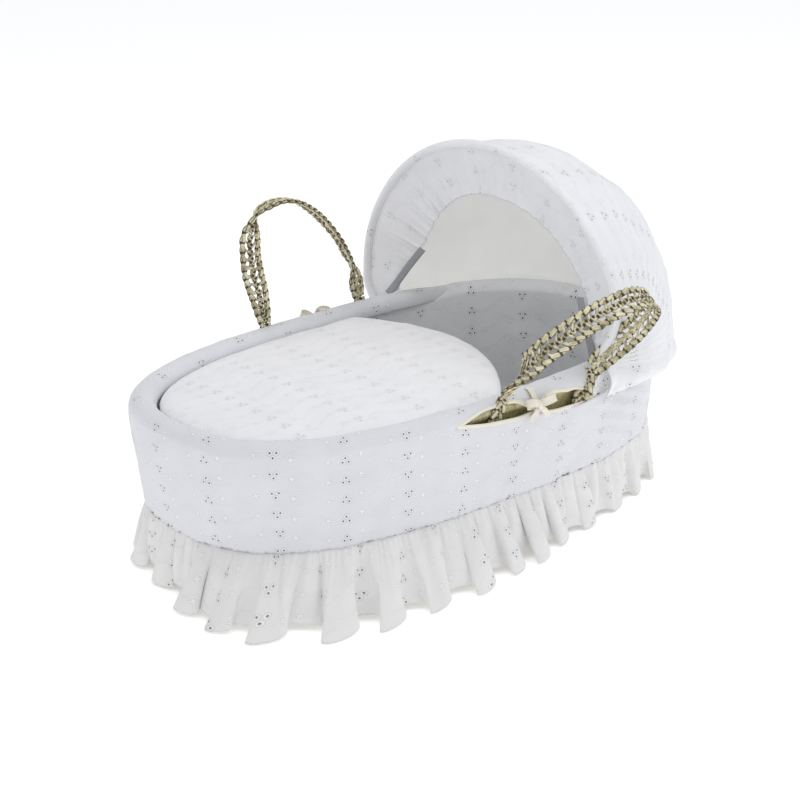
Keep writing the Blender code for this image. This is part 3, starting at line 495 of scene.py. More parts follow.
def broderie(name, ground, coords="Cloth", hole_shade="#5d5f64", dense=1.0, soft=0.0):
    """White poly-cotton with machine embroidery: threes of stitched eyelets, small flowers and vines.

    The real eyelets are 2.5 mm across with a 1 mm satin-stitched rim; threes stand 30 mm apart in
    columns 90 mm apart, point up and point down by turns. The weave, 0.3 mm in life, is left to a
    fine bump. The eye sees soft matt cotton with brighter, raised, slightly silky stitches.
    """
    m = bpy.data.materials.new(name)
    m.use_nodes = True
    tree = m.node_tree
    shader = tree.nodes["Principled BSDF"]

    def calc(operation, a, b=0.0, c=0.0, clamp=False):
        return node(tree, "ShaderNodeMath", {0: a, 1: b, 2: c}, operation=operation, use_clamp=clamp)

    def fade(value, start, end, top=1.0):
        return node(tree, "ShaderNodeMapRange", {"Value": value, "From Min": start, "From Max": end,
                                                 "To Min": top, "To Max": 0.0},
                                                         interpolation_type="SMOOTHSTEP")

    if coords == "Cloth":
        place = node(tree, "ShaderNodeUVMap", uv_map="Cloth").outputs[0]
    else:
        place = node(tree, "ShaderNodeTexCoord").outputs["Object"]
    wander = node(tree, "ShaderNodeTexNoise", {"Vector": place, "Scale": 9.0, "Detail": 1.0})
    wander = node(tree, "ShaderNodeVectorMath", {0: wander.outputs["Color"], 1: (0.5, 0.5, 0.5)},
            operation="SUBTRACT")
    wander = node(tree, "ShaderNodeVectorMath", {0: wander, 3: 0.010}, operation="SCALE")
    bent = node(tree, "ShaderNodeVectorMath", {0: place, 1: wander}, operation="ADD")
    axes = node(tree, "ShaderNodeSeparateXYZ", {0: bent})
    column = calc("DIVIDE", axes.outputs[0], 0.090)
    odd = calc("FLOORED_MODULO", calc("FLOOR", column), 2.0)
    row = calc("MULTIPLY_ADD", odd, 0.37, calc("DIVIDE", axes.outputs[1], 0.0300))
    px = calc("MULTIPLY", calc("SUBTRACT", calc("FRACT", column), 0.5), 0.090)
    py = calc("MULTIPLY", calc("SUBTRACT", calc("FRACT", row), 0.5), 0.0300)
    py = calc("MULTIPLY", py, calc("MULTIPLY_ADD", odd, -2.0, 1.0))
    p = node(tree, "ShaderNodeCombineXYZ", {0: px, 1: py})
    nearest = None
    for x, y in ((0.0, 0.0043), (-0.0042, -0.0022), (0.0042, -0.0022)):
        d = node(tree, "ShaderNodeVectorMath", {0: p, 1: (x, y, 0.0)}, operation="DISTANCE").outputs["Value"]
        nearest = d if nearest is None else calc("MINIMUM", nearest, d)
    opened = fade(nearest, 0.0008, 0.0016)
    rim = fade(calc("ABSOLUTE", calc("SUBTRACT", nearest, 0.0023)), 0.0003, 0.0010)
    stitched = rim.outputs[0]
    shadow = fade(calc("ABSOLUTE", calc("SUBTRACT", nearest, 0.0037)), 0.0002, 0.0010, 0.5).outputs[0]
    for x, y, size, turn in ((0.0215, 0.0085, 0.0042, 0.4), (-0.0240, 0.0010, 0.0038, 1.1)):
        away_by = node(tree, "ShaderNodeVectorMath", {0: p, 1: (x, y, 0.0)}, operation="SUBTRACT")
        parts = node(tree, "ShaderNodeSeparateXYZ", {0: away_by})
        angle = calc("ARCTAN2", parts.outputs[1], parts.outputs[0])
        petal = calc("ABSOLUTE", calc("COSINE", calc("MULTIPLY_ADD", angle, 2.0, turn)))
        reach = calc("MULTIPLY_ADD", petal, size * 0.66, size * 0.34)
        length = node(tree, "ShaderNodeVectorMath", {0: away_by}, operation="LENGTH").outputs["Value"]
        past = calc("SUBTRACT", length, reach)
        stitched = calc("MAXIMUM", stitched, calc("MULTIPLY", past, -1500.0, clamp=True))
        rimmed = calc("MULTIPLY", fade(calc("ABSOLUTE", calc("SUBTRACT", past, 0.0006)), 0.0002, 0.0008, 0.9),
                      fade(length, size * 0.9, size * 1.2))
        shadow = calc("MAXIMUM", shadow, rimmed)
        shadow = calc("MAXIMUM", shadow, fade(length, 0.0004, 0.0011, 0.9))
    wave = calc("SINE", calc("MULTIPLY_ADD", px, 2 * np.pi / 0.045, 0.9))
    off = calc("ABSOLUTE", calc("SUBTRACT", py, calc("MULTIPLY_ADD", wave, 0.0042, 0.0035)))
    clear = calc("MULTIPLY", fade(nearest, 0.0040, 0.0070), -1.0)
    vine = calc("MULTIPLY", fade(off, 0.0003, 0.0009, 0.8), calc("ADD", clear, 1.0))
    stitched = calc("MAXIMUM", stitched, vine)
    edge = calc("MULTIPLY", fade(calc("ABSOLUTE", calc("SUBTRACT", off, 0.0011)), 0.0001, 0.0006, 0.35),
            calc("ADD", clear, 1.0))
    shadow = calc("MAXIMUM", shadow, edge)
    cloud = node(tree, "ShaderNodeTexNoise", {"Vector": place, "Scale": 24.0, "Detail": 3.0})
    base = linear(ground)
    ramp = node(tree, "ShaderNodeValToRGB", {"Fac": cloud})
    ramp.color_ramp.elements[0].position = 0.3
    ramp.color_ramp.elements[0].color = (*(v * 0.95 for v in base[:3]), 1.0)
    ramp.color_ramp.elements[1].position = 0.7
    ramp.color_ramp.elements[1].color = base
    shaded = node(tree, "ShaderNodeMixRGB", {"Fac": calc("MULTIPLY", shadow, 0.34 * dense), "Color1": ramp,
                                             "Color2": linear("#8b8d93")})
    thread = node(tree, "ShaderNodeMixRGB", {"Fac": calc("MULTIPLY", stitched, 0.60 * dense),
            "Color1": shaded,
                                             "Color2": linear("#fdfdfd")})
    # Painted shade: the eyelets take the dark seen through them, darker on pieces that lie in shade.
    holed = node(tree, "ShaderNodeMixRGB", {"Fac": calc("MULTIPLY", opened, dense), "Color1": thread,
                                            "Color2": linear(hole_shade)})
    tree.links.new(holed.outputs[0], shader.inputs["Base Color"])
    rough = node(tree, "ShaderNodeMapRange", {"Value": stitched, "To Min": 0.86, "To Max": 0.55})
    tree.links.new(rough.outputs[0], shader.inputs["Roughness"])
    shader.inputs["Sheen Weight"].default_value = 0.18
    shader.inputs["Sheen Roughness"].default_value = 0.45
    pucker = node(tree, "ShaderNodeTexNoise", {"Vector": place, "Scale": 150.0, "Detail": 2.0})
    height = calc("MULTIPLY_ADD", pucker, 0.28, calc("MULTIPLY_ADD", opened, -0.9, calc("MULTIPLY",
            stitched, 0.55)))
    if soft:
        quilted = node(tree, "ShaderNodeTexNoise", {"Vector": place, "Scale": 26.0, "Detail": 2.0})
        height = calc("MULTIPLY_ADD", quilted, soft, height)
    bump = node(tree, "ShaderNodeBump", {"Height": height, "Strength": 0.75, "Distance": 0.0009})
    tree.links.new(bump.outputs[0], shader.inputs["Normal"])
    return m


def plain_cotton(name, ground, roughness=0.88, grain=0.25, through=0.0):
    """Plain woven cotton or tape: matt, with a faint 1 mm thread grain, coarsened from 0.3 mm to show."""
    m = bpy.data.materials.new(name)
    m.use_nodes = True
    tree = m.node_tree
    shader = tree.nodes["Principled BSDF"]
    place = node(tree, "ShaderNodeTexCoord").outputs["Object"]
    cloud = node(tree, "ShaderNodeTexNoise", {"Vector": place, "Scale": 30.0, "Detail": 3.0})
    ramp = node(tree, "ShaderNodeValToRGB", {"Fac": cloud})
    base = linear(ground)
    ramp.color_ramp.elements[0].position = 0.3
    ramp.color_ramp.elements[0].color = (*(v * 0.93 for v in base[:3]), 1.0)
    ramp.color_ramp.elements[1].position = 0.7
    ramp.color_ramp.elements[1].color = base
    tree.links.new(ramp.outputs[0], shader.inputs["Base Color"])
    shader.inputs["Roughness"].default_value = roughness
    shader.inputs["Sheen Weight"].default_value = 0.15
    shader.inputs["Emission Color"].default_value = linear("#fffefb")
    shader.inputs["Emission Strength"].default_value = through
    thread = node(tree, "ShaderNodeTexNoise", {"Vector": place, "Scale": 900.0, "Detail": 1.0})
    bump = node(tree, "ShaderNodeBump", {"Height": thread, "Strength": grain, "Distance": 0.0006})
    tree.links.new(bump.outputs[0], shader.inputs["Normal"])
    return m


def finish_cloth(ob, thick, offset=-1.0, inner=None):
    """Gives a cloth surface its thickness, with its own material on the back if it has one."""
    solid = ob.modifiers.new("thickness", "SOLIDIFY")
    solid.thickness = thick
    solid.offset = offset
    solid.use_even_offset = False
    if inner is not None:
        ob.data.materials.append(inner)
        solid.material_offset = 1
    return ob


def slot_opening(x, y):
    """How open the slit is at each station: a long lens, pinched where the tie draws it together."""
    u = np.clip((SLOT_HALF - np.abs(x - SLOT_X)) / SLOT_EASE, 0, 1)
    pinch = 1 - TIE_PINCH * np.exp(-((x - TIE_X) / TIE_REACH) ** 2)
    narrow = 1 - 0.35 * np.clip((x - 0.03) / 0.05, 0, 1)
    return np.where(np.abs(y) > 0.15, np.sin(u * np.pi / 2) ** 1.3 * pinch * narrow, 0.0)


def slot_fall(x, y):
    """How far the slit's line has dropped below the coil's middle: more towards the head."""
    return np.where(np.abs(y) > 0.12, SLOT_FALL * smooth((x + 0.13) / 0.28) * (1 - smooth((x
            - 0.165) / 0.08)), 0.0)


def roll_radius(x):
    """The roll is fat round the foot and sides, and thin under the hood."""
    return ROLL_RADIUS + (HEAD_RADIUS - ROLL_RADIUS) * smooth((x - 0.17) / 0.09)


def rim_profile(run, radius):
    """Offset and height at a run along the rim: straight up the band's face, then round the roll's circle."""
    middle = BAND_OUT - radius
    angle = np.maximum(run, 0) / radius
    return middle + radius * np.cos(angle), COIL_Z + radius * np.sin(angle) + np.minimum(run, 0)


band_t, band_run, girth = even_stations(960)
base_x, base_y = oval(band_t, 0.0, COIL_Z)
opening = slot_opening(base_x, base_y)
fall = slot_fall(base_x, base_y)
BAND_ROWS, ROLL_ROWS = 28, 34
f = np.linspace(0, 1, BAND_ROWS)[:, None]
band_top = COIL_Z - (fall + LIP_DROP * opening)[None, :]
band_z = SEAM_Z + (band_top - SEAM_Z) * f
level = (band_z - SEAM_Z) / (COIL_Z - SEAM_Z)
run_grid = np.broadcast_to(band_run[None, :], band_z.shape)
soft = ripple(run_grid * 1.6, band_z * 0.8, 11, (0.16, 0.07), (0.0012, 0.0006))
pull = np.exp(-((base_x - 0.235) / 0.07) ** 2) * (base_y < 0)
crease = 0.0015 * pull * np.sin(2 * np.pi * (run_grid * 0.42 + band_z) / 0.024) * np.sin(np.pi
        * np.clip(level, 0, 1)) ** 0.6
panel_seam = -0.0011 * np.exp(-((base_x + 0.112) / 0.0014) ** 2) * (np.abs(base_y) > 0.15)
pucker = 0.0007 * np.cos(2 * np.pi * band_run / 0.011 + 2 * np.sin(band_run * 40)) * np.exp(-level / 0.05)
belly = 0.0020 * np.sin(np.pi * np.clip(level, 0, 1)) ** 0.8
taut = 1 - np.clip((level - 0.85) / 0.15, 0, 1) ** 2
spread = BAND_FOOT_OUT + (BAND_OUT - BAND_FOOT_OUT) * smooth(level)
band_d = spread + LIP_PUSH * opening * f ** 4 + (belly + soft + crease + panel_seam) * taut + pucker
a = SEAM_A + (WALL_A - SEAM_A) * level
b = SEAM_B + (WALL_B - SEAM_B) * level
bx, by = oval(band_t[None, :], band_d, band_z, a, b)
band_points = np.stack([bx, by, band_z], -1)

g = np.linspace(0, 1, ROLL_ROWS)[:, None]
swell = 1 + ripple(band_run[None, :], g * 0.05, 17, (0.10, 0.045), (0.034, 0.018)) * np.sin(np.pi * g) ** 0.7
radius = roll_radius(base_x)[None, :]
run_from = -fall + (ROLL_RADIUS * np.radians(SLOT_OPEN) + fall) * opening
run_to = radius * np.radians(ROLL_END)
roll_d, roll_z = rim_profile(run_from + (run_to - run_from) * g, radius)
roll_d = BAND_OUT - radius + (roll_d - BAND_OUT + radius) * swell
roll_z = COIL_Z + (roll_z - COIL_Z) * swell
roll_level = np.clip((roll_z - SEAM_Z) / (COIL_Z - SEAM_Z), 0, 1)
roll_d = roll_d - (BAND_OUT - BAND_FOOT_OUT) * (1 - smooth(roll_level)) * (g < 0.5)
outside_level = np.where(g < 0.5, roll_level, 1.0)
roll_a = SEAM_A + outside_level * (WALL_A - SEAM_A)
roll_b = SEAM_B + outside_level * (WALL_B - SEAM_B)
outside_z = np.where(g < 0.5, np.minimum(roll_z, COIL_Z), COIL_Z)
rx, ry = oval(band_t[None, :], roll_d, outside_z, roll_a, roll_b)
roll_points = np.stack([rx, ry, roll_z], -1)

points = np.concatenate([band_points, roll_points])
rows = BAND_ROWS + ROLL_ROWS
index = np.arange(rows * len(band_t)).reshape(rows, -1)
shut = opening < 1e-6
points[BAND_ROWS, shut] = points[BAND_ROWS - 1, shut]
index[BAND_ROWS, shut] = index[BAND_ROWS - 1, shut]
climb = np.concatenate([f * 0.145, 0.145 + g * np.radians(ROLL_END) * ROLL_RADIUS])
u_run = np.append(band_run, girth)
cloth_uv = np.stack(np.broadcast_arrays(u_run[None, :], climb), -1)
i, j = np.meshgrid(np.delete(np.arange(rows - 1), BAND_ROWS - 1), np.arange(len(band_t)), indexing="ij")
j2 = (j + 1) % len(band_t)
quads = np.stack([index[i, j], index[i, j2], index[i + 1, j2], index[i + 1, j]], -1).reshape(-1, 4)
corner = np.stack([cloth_uv[i, j], cloth_uv[i, j + 1], cloth_uv[i + 1, j + 1], cloth_uv[i + 1, j]], 2)
cover = mesh_object("dressing_cover", points.reshape(-1, 3), quads, corner.reshape(-1, 4, 2))
cover.data.materials.append(broderie("white_broderie_poly_cotton", "#e2e3e6"))
finish_cloth(cover, 0.0012)
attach(cover, "basket")
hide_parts("outer_band", "rim_roll")

# ---------------------------------------------------------------- frill
# A strip of the same cotton, 1.6 times the seam's length, gathered on to the band's lower edge with
# small tight pleats that open into deep soft folds at the hem.
FRILL_FULL = 1.6
HEM_Z = 0.0025
FLARE_X = [-0.43, -0.36, -0.25, -0.15, -0.03, 0.10, 0.22, 0.30, 0.40]
FLARE = [0.072, 0.084, 0.085, 0.078, 0.056, 0.032, 0.022, 0.019, 0.018]
FOLD_DEPTH = [0.0165, 0.020, 0.021, 0.0200, 0.0175, 0.0135, 0.0105, 0.0100, 0.0095]


def folds(run, total, sizes, seed):
    """A phase that gains one turn for each fold, the folds' widths drawn at random, and each one's depth."""
    random = np.random.default_rng(seed)
    widths = random.uniform(*sizes, int(total / np.mean(sizes)))
    edges = np.concatenate([[0], np.cumsum(widths)])
    edges *= total / edges[-1]
    depth = random.uniform(0.6, 1.25, len(edges))
    depth[-1] = depth[0]
    return 2 * np.pi * np.interp(run, edges, np.arange(len(edges))), np.interp(run, edges, depth)


frill_t, frill_run, frill_girth = even_stations(2300)
frill_x, frill_y = oval(frill_t, 0.0, SEAM_Z)
far_hang = 1 - 0.66 * smooth((frill_y + 0.13) / 0.15) * smooth((-0.05 - frill_x) / 0.15)
s = np.linspace(0, 1, 26)[:, None]
broad, broad_depth = folds(frill_run, frill_girth, (0.044, 0.084), 21)
middle, middle_depth = folds(frill_run, frill_girth, (0.019, 0.034), 22)
fine, fine_depth = folds(frill_run, frill_girth, (0.0065, 0.0105), 23)
deep = np.interp(frill_x, FLARE_X, FOLD_DEPTH) * (0.4 + 0.6 * far_hang) * broad_depth * s ** 1.15
mid = 0.0046 * middle_depth * np.sin(np.pi * np.clip(s * 0.8 + 0.12, 0, 1))
tight = 0.0013 * fine_depth * np.exp(-s / 0.25)
spread = 0.0128 + (np.interp(frill_x, FLARE_X, FLARE) * far_hang - 0.0128) * s ** 0.85
crest = np.cos(broad + 0.5 * s)
frill_d = spread + deep * (crest + 0.22 * crest ** 2 - 0.1) + mid * np.cos(middle) + tight * np.cos(fine)
slide = 0.0095 * s ** 1.2 * np.sin(2 * broad) * broad_depth + 0.5 * mid * np.sin(middle)
step = np.interp(frill_run[None, :] + slide, np.concatenate([frill_run - frill_girth, frill_run, frill_run
        + frill_girth]),
                 np.concatenate([frill_t - 2 * np.pi, frill_t, frill_t + 2 * np.pi]))
hem = HEM_Z + 0.0030 - 0.0030 * np.cos(broad + 0.5) + 0.0008 * np.cos(middle)
frill_z = (SEAM_Z + 0.002) * (1 - s) + hem * s
fx, fy = oval(step, frill_d, SEAM_Z, SEAM_A, SEAM_B)
frill_uv = np.stack(np.broadcast_arrays(np.append(frill_run, frill_girth)[None, :] * FRILL_FULL, 0.1 - s
        * 0.092), -1)
frill = surface("frill_gathered", np.stack(np.broadcast_arrays(fx, fy, frill_z), -1), frill_uv, wrap=True,
        flip=True)
frill.data.materials.append(broderie("white_broderie_poly_cotton_frill", "#ecebe9", dense=0.8))
finish_cloth(frill, 0.0008)
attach(frill, "basket")
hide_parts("frill")

tape = plain_cotton("woven_cotton_tape", "#e8e8e6")
for name in ("gather_tape", "hood_hem_elastic", "floor_liner", "mattress_foam"):
    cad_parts[name].data.materials.clear()
    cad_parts[name].data.materials.append(tape)

# ---------------------------------------------------------------- inner wall
# A padded panel of the same cotton, stitched under the roll and hung down inside the wall.
liner_t, liner_run, liner_girth = even_stations(700)
h = np.concatenate([np.linspace(0, 0.89, 22), np.linspace(0.90, 1, 14)])[:, None]
liner_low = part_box("wall_liner")[0]
liner_head = smooth((oval(liner_t, 0.0, COIL_Z)[0] - 0.17) / 0.09)
liner_top = 0.2225 + 0.0168 * liner_head
liner_z = liner_low[2] + 0.001 + (liner_top - liner_low[2]) * h
base_fall = np.clip(liner_z / wall_high[2], 0, 1)
la = 0.3935 + (WALL_A - 0.3935) * base_fall
lb = 0.1950 + (WALL_B - 0.1950) * base_fall
puff = 0.0022 * np.sin(np.pi * h) ** 0.7 + ripple(liner_run[None, :], liner_z, 31, (0.12, 0.05), (0.0016,
        0.0008))
liner_d = -0.0132 - puff * np.sin(np.pi * np.clip(h * 0.98 + 0.01, 0, 1)) - 0.0016 * liner_head * smooth(h
        * 3 - 1.6)
liner_d = liner_d + 0.0185 * liner_head * smooth((h - 0.93) / 0.09)
lx, ly = oval(liner_t[None, :], liner_d, liner_z, la, lb)
liner_uv = np.stack(np.broadcast_arrays(np.append(liner_run, liner_girth)[None, :], h * 0.205), -1)
liner = surface("inner_wall_panel", np.stack(np.broadcast_arrays(lx, ly, liner_z), -1), liner_uv, wrap=True,
        flip=True)
# Its near-black eyelets are painted shade.
liner.data.materials.append(broderie("white_broderie_over_wadding", "#f3f4f6", hole_shade="#26282c"))
finish_cloth(liner, 0.0030, offset=-1.0)
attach(liner, "basket")
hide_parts("wall_liner")

# ---------------------------------------------------------------- slot bindings, ties and bows
# Cream bias tape folded over both lips of each slit, and a ribbon tied across it in a bow.
cream = plain_cotton("cream_bias_binding", "#f1ecdc", 0.7, 0.35)
for label, side in (("near", -1), ("far", 1)):
    for edge in ("upper", "lower"):
        x = SLOT_X + np.linspace(-0.1345, 0.1345, 181)
        o = slot_opening(x, np.full(len(x), 0.2))
        down = slot_fall(x, np.full(len(x), 0.2))
        if edge == "upper":
            d, z = rim_profile(-down + (ROLL_RADIUS * np.radians(SLOT_OPEN) + down) * o, ROLL_RADIUS)
        else:
            d, z = BAND_OUT + LIP_PUSH * o, COIL_Z - down - LIP_DROP * o
        below = np.clip((z - SEAM_Z) / (COIL_Z - SEAM_Z), 0, 1)
        d = d - (BAND_OUT - BAND_FOOT_OUT) * (1 - smooth(below))
        ox, oy = oval(side * side_angle(x), d - 0.0004, np.minimum(z, COIL_Z), SEAM_A + (WALL_A - SEAM_A)
                * below,
                      SEAM_B + (WALL_B - SEAM_B) * below)
        path = np.stack([ox, oy, z], -1)
        grid = strand(path, np.tile([0.0, 0.0, 1.0], (len(path), 1)), 0.0054, 0.0028, 12)
        lip = gather(f"slot_tape_{label}_{edge}", [grid])
        lip.data.materials.append(cream)
        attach(lip, "basket")
        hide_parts(f"slot_binding_{label}_{edge}")

    tie_y = oval(side_angle(np.array(TIE_X)), 0.0, COIL_Z)[1]
    bow_y = tie_y + 0.0215
    across_x = [(1, 0, 0), (1, 0, 0)]
    runs = [([(TIE_X, tie_y + 0.0015, 0.2428), (TIE_X, tie_y + 0.010, 0.2410), (TIE_X, tie_y + 0.0185,
            0.2310),
              (TIE_X, tie_y + 0.0216, 0.2190), (TIE_X, tie_y + 0.0210, 0.2030)], across_x, 0.0100),
            ([(TIE_X - 0.002, bow_y - 0.001, 0.2305), (TIE_X - 0.001, bow_y + 0.0062, 0.2292),
              (TIE_X, bow_y + 0.0082, 0.2235), (TIE_X + 0.001, bow_y + 0.0060, 0.2178),
              (TIE_X + 0.002, bow_y - 0.001, 0.2165)], across_x, 0.0085)]
    for way, size, rise in ((-1, 0.85, 0.30), (1, 1.15, 0.12)):
        loop = np.array([(0.001, 0.003, 0.0), (0.010, 0.0100, 0.0040), (0.020, 0.0110, 0.0045), (0.0275,
                0.0055, 0.0010),
                         (0.021, 0.0005, -0.003), (0.010, 0.0, -0.0025), (0.001, 0.0015, 0.0)])
        tail = np.array([(0.001, 0.0045, -0.001), (0.006, 0.0070, -0.007), (0.012, 0.0055, -0.014),
                         (0.0175, 0.0045, -0.0215)])
        at = np.array([TIE_X, bow_y, 0.2235])
        loop = loop * (way * size, 1, 1) + at
        loop[:, 2] += rise * size * np.array([0, 0.010, 0.020, 0.026, 0.021, 0.010, 0])
        runs.append((loop, [(0, 0.1, 1), (0, -0.5, 1), (0, 0.1, 1)], 0.0115))
        runs.append((tail * (way * size, 1, 1) + at, [(1, 0, 0.3 * way), (1, 0.4, 0.3 * way)], 0.0085))
    ribbons = []
    for run, flat, wide in runs:
        path, run_length = smooth_path(run, 60)
        flat = np.stack([np.interp(np.linspace(0, 1, 60), np.linspace(0, 1, len(flat)), np.array(flat)[:, k])
                         for k in range(3)], -1)
        tangent = unit(np.gradient(path, axis=0))
        flat = unit(flat - tangent * np.sum(flat * tangent, 1, keepdims=True))
        up = np.cross(tangent, flat)
        e = np.linspace(-1, 1, 7)[None, :, None]
        strip = path[:, None] + flat[:, None] * e * wide / 2 + up[:, None] * (1 - e ** 2) * 0.0006
        ribbons.append((strip * np.array([1.0, side, 1.0]), run_length * wide))
    count = np.arange(len(ribbons))[:, None, None] * 420
    i, j = np.meshgrid(np.arange(59), np.arange(6), indexing="ij")
    quads = np.stack([i * 7 + j, i * 7 + j + 1, (i + 1) * 7 + j + 1, (i + 1) * 7 + j], -1).reshape(1, -1,
            4) + count
    bow = mesh_object(f"ribbon_bow_{label}", np.concatenate([r.reshape(-1, 3) for r, _ in ribbons]),
            quads.reshape(-1, 4))
    bow.data.materials.append(cream)
    finish_cloth(bow, 0.0006, 0.0)
    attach(bow, "basket")
    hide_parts(f"slot_tie_{label}", f"slot_bow_{label}")

# ---------------------------------------------------------------- hood
# One cotton cover on a bendy hoop: it is stretched from the piped front edge over the back and
# hooks round the rim with an elastic hem. A gathered facing is turned in behind the front edge.
HOOD_X, HOOD_Z = 0.150, 0.240
HOOD_R, HOOD_B, HOOD_DEEP, HOOD_BOX = 0.2740, 0.277, 0.262, 0.80
HOOD_DIMPLE = {"near": 0.050, "far": 0.006}
DIMPLE_REACH = 0.062
HOOD_POWER = 2.04


def hood_profile(t, out=0.0):
    """Half width and radius across the hood: a superellipse, drawn in towards the pivots at the rim."""
    c, sn = np.cos(t), np.sin(t)
    r = (HOOD_R + out) * np.clip(c, 0, 1) ** (2 / HOOD_POWER)
    dimple = np.where(sn < 0, HOOD_DIMPLE["near"], HOOD_DIMPLE["far"])
    y = (HOOD_B + out) * np.sign(sn) * np.abs(sn) ** (2 / HOOD_POWER)
    return y - np.sign(y) * dimple * np.exp(-(r / DIMPLE_REACH) ** 2) * np.minimum(1, np.abs(y) / 0.15), r


hood_end = np.arccos((0.012 / HOOD_R) ** (HOOD_POWER / 2))
ACROSS = 320
even = np.linspace(-1, 1, ACROSS)
t = hood_end * (0.35 * np.sin(even * np.pi / 2) + 0.65 * even)
back = np.linspace(0, np.pi / 2, 84)[:, None]
hy, hr = hood_profile(t[None, :])
sag = 1 - 0.014 * np.sin(2 * back) ** 2 * np.cos(t[None, :]) - 0.012 * np.exp(-((back - 0.13) / 0.07) ** 2)
crumple = ripple(t[None, :] * 0.25, back * 0.25, 41, (0.12, 0.05), (0.0026, 0.0010)) * np.sin(back) ** 0.5
hr = hr * sag + crumple * np.clip(hr / 0.1, 0, 1)
hood_back, hood_up = np.sin(back) ** HOOD_BOX, np.clip(np.cos(back), 0, 1) ** 0.92
shell = np.stack(np.broadcast_arrays(HOOD_X + hr * (HOOD_DEEP / HOOD_R) * hood_back, hy, HOOD_Z + hr
        * hood_up), -1)

skirt_f = np.linspace(0, 1, 26)[1:, None]
dense = np.linspace(-side_angle(0.151), side_angle(0.151), 4001)
dx, dy = oval(dense, 0.0200, COIL_Z)
dense_run = np.concatenate([[0], np.cumsum(np.hypot(np.diff(dx), np.diff(dy)))])
top_line = shell[-1]
edge_run = np.concatenate([[0], np.cumsum(np.linalg.norm(np.diff(top_line, axis=0), axis=1))])
edge_run /= edge_run[-1]
match = np.interp(edge_run, dense_run / dense_run[-1], dense)
gathers, gather_depth = folds(edge_run * 0.62, 0.62, (0.012, 0.022), 43)
broad_gathers, broad_gather_depth = folds(edge_run * 0.62, 0.62, (0.035, 0.060), 44)
hem_x, hem_y = oval(match, 0.0200 + 0.0016 * gather_depth * np.cos(gathers), COIL_Z)
hem_line = np.stack([hem_x, hem_y, 0.189 + 0.003 * np.cos(edge_run * 9)], -1)
tuck_in = skirt_f[..., None] ** 2.3
skirt = top_line[None] * (1 - tuck_in) + hem_line[None] * tuck_in
skirt[..., 2] = top_line[None, :, 2] * (1 - skirt_f) + hem_line[None, :, 2] * skirt_f
outward = hem_line - np.array([0.1, 0.0, 0.0])
outward[:, 2] = 0
bulge = (0.006 * np.sin(np.pi * skirt_f) + 0.0012 * skirt_f * (gather_depth * np.cos(gathers))[None, :]
         + 0.0030 * np.sin(np.pi * skirt_f) * (broad_gather_depth * np.cos(broad_gathers))[None, :])
skirt = skirt + unit(outward)[None] * bulge[..., None]
hood_points = np.concatenate([shell, skirt])
across_run = np.concatenate([[0], np.cumsum(np.linalg.norm(np.diff(shell[0], axis=0), axis=1))])
down_run = np.concatenate([back[:, 0] * HOOD_R, back[-1, 0] * HOOD_R + skirt_f[:, 0] * 0.05])
hood_uv = np.stack(np.broadcast_arrays(across_run[None, :], down_run[:, None]), -1)
hood_cotton = broderie("white_broderie_poly_cotton_hood", "#eff0f2", hole_shade="#85878c", dense=0.8)
# The thin shell lets no light through in the render, so a small glow on the lining stands in for
# the daylight that comes through the two cotton layers of the real hood.
lining = plain_cotton("plain_cotton_lining", "#f2f2f0", through=0.21)
hood = surface("hood_cover", hood_points, hood_uv, flip=True)
hood.data.materials.append(hood_cotton)
finish_cloth(hood, 0.0016, inner=lining)
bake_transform(hood)
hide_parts("hood_front_panel", "hood_back_panel", "hood_skirt", "hood_pocket_near", "hood_pocket_far")

# The front edge is turned back over the hoop and makes a soft round edge.
pipe_t = np.linspace(-hood_end, hood_end, 260)
pipe_y, pipe_r = hood_profile(pipe_t, -0.0005)
pipe_line = np.stack([np.full(260, HOOD_X - 0.0005), pipe_y, HOOD_Z + pipe_r], -1)
pipe_line = np.concatenate([pipe_line, [(0.150, 0.2665, 0.238), (0.1505, 0.2570, 0.222), (0.1510, 0.2440,
        0.206)]])
pipe_path, pipe_length = smooth_path(pipe_line, 420)
pipe_ring, _, pipe_crease = strand(pipe_path, np.tile([1.0, 0.0, 0.0], (420, 1)), 0.0145, 0.0125, 18)
pipe_uv = np.stack(np.meshgrid(np.linspace(0, pipe_length, 420), np.linspace(0, 0.039, 19), indexing="ij"),
        -1)
piping = gather("hood_piping", [(pipe_ring, pipe_uv, pipe_crease)])
piping.data.materials.append(hood_cotton)
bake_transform(piping)
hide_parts("hood_hoop")

# The facing is a band of the same cotton behind the front edge, gathered on to an elastic.
FACING_R, FACING_NEAR, FACING_FAR, FACING_SPLAY = 0.197, 0.196, 0.163, 0.050
around = np.linspace(-1, 1, 720)
outer_end = np.arccos((0.0085 / HOOD_R) ** (HOOD_POWER / 2))
outer_y, outer_r = hood_profile(around * outer_end, -0.004)
inner_end = np.arccos((0.0085 / FACING_R) ** (2.2 / 2))
half = np.where(around < 0, FACING_NEAR, FACING_FAR)
inner_r = FACING_R * np.cos(around * inner_end) ** (2 / 2.2)
inner_y = half * np.sign(around) * np.abs(np.sin(around * inner_end)) ** (2 / 2.2)
inner_y += np.where(around > 0, FACING_SPLAY * smooth(1 - inner_r / 0.11), 0.010 * smooth(-around * 1.5
        - 0.4) * -1)
q = np.linspace(0, 1, 32)[:, None]
pleats, pleat_depth = folds((around + 1) * 0.4, 0.8, (0.010, 0.019), 51)
broad_pleats, broad_pleat_depth = folds((around + 1) * 0.4, 0.8, (0.026, 0.044), 52)
amount = 0.30 + 0.70 * np.exp(-((around - 0.45) / 0.42) ** 2)
lift = amount * (0.0017 * pleat_depth * q ** 1.3 * np.cos(pleats) + 0.0026 * broad_pleat_depth * q
        * np.cos(broad_pleats))
facing_y = outer_y[None, :] * (1 - q) + inner_y[None, :] * q
facing_r = outer_r[None, :] * (1 - q) + inner_r[None, :] * q
facing_x = HOOD_X + 0.0015 + 0.010 * np.sin(np.pi * q / 2) ** 1.5 + lift
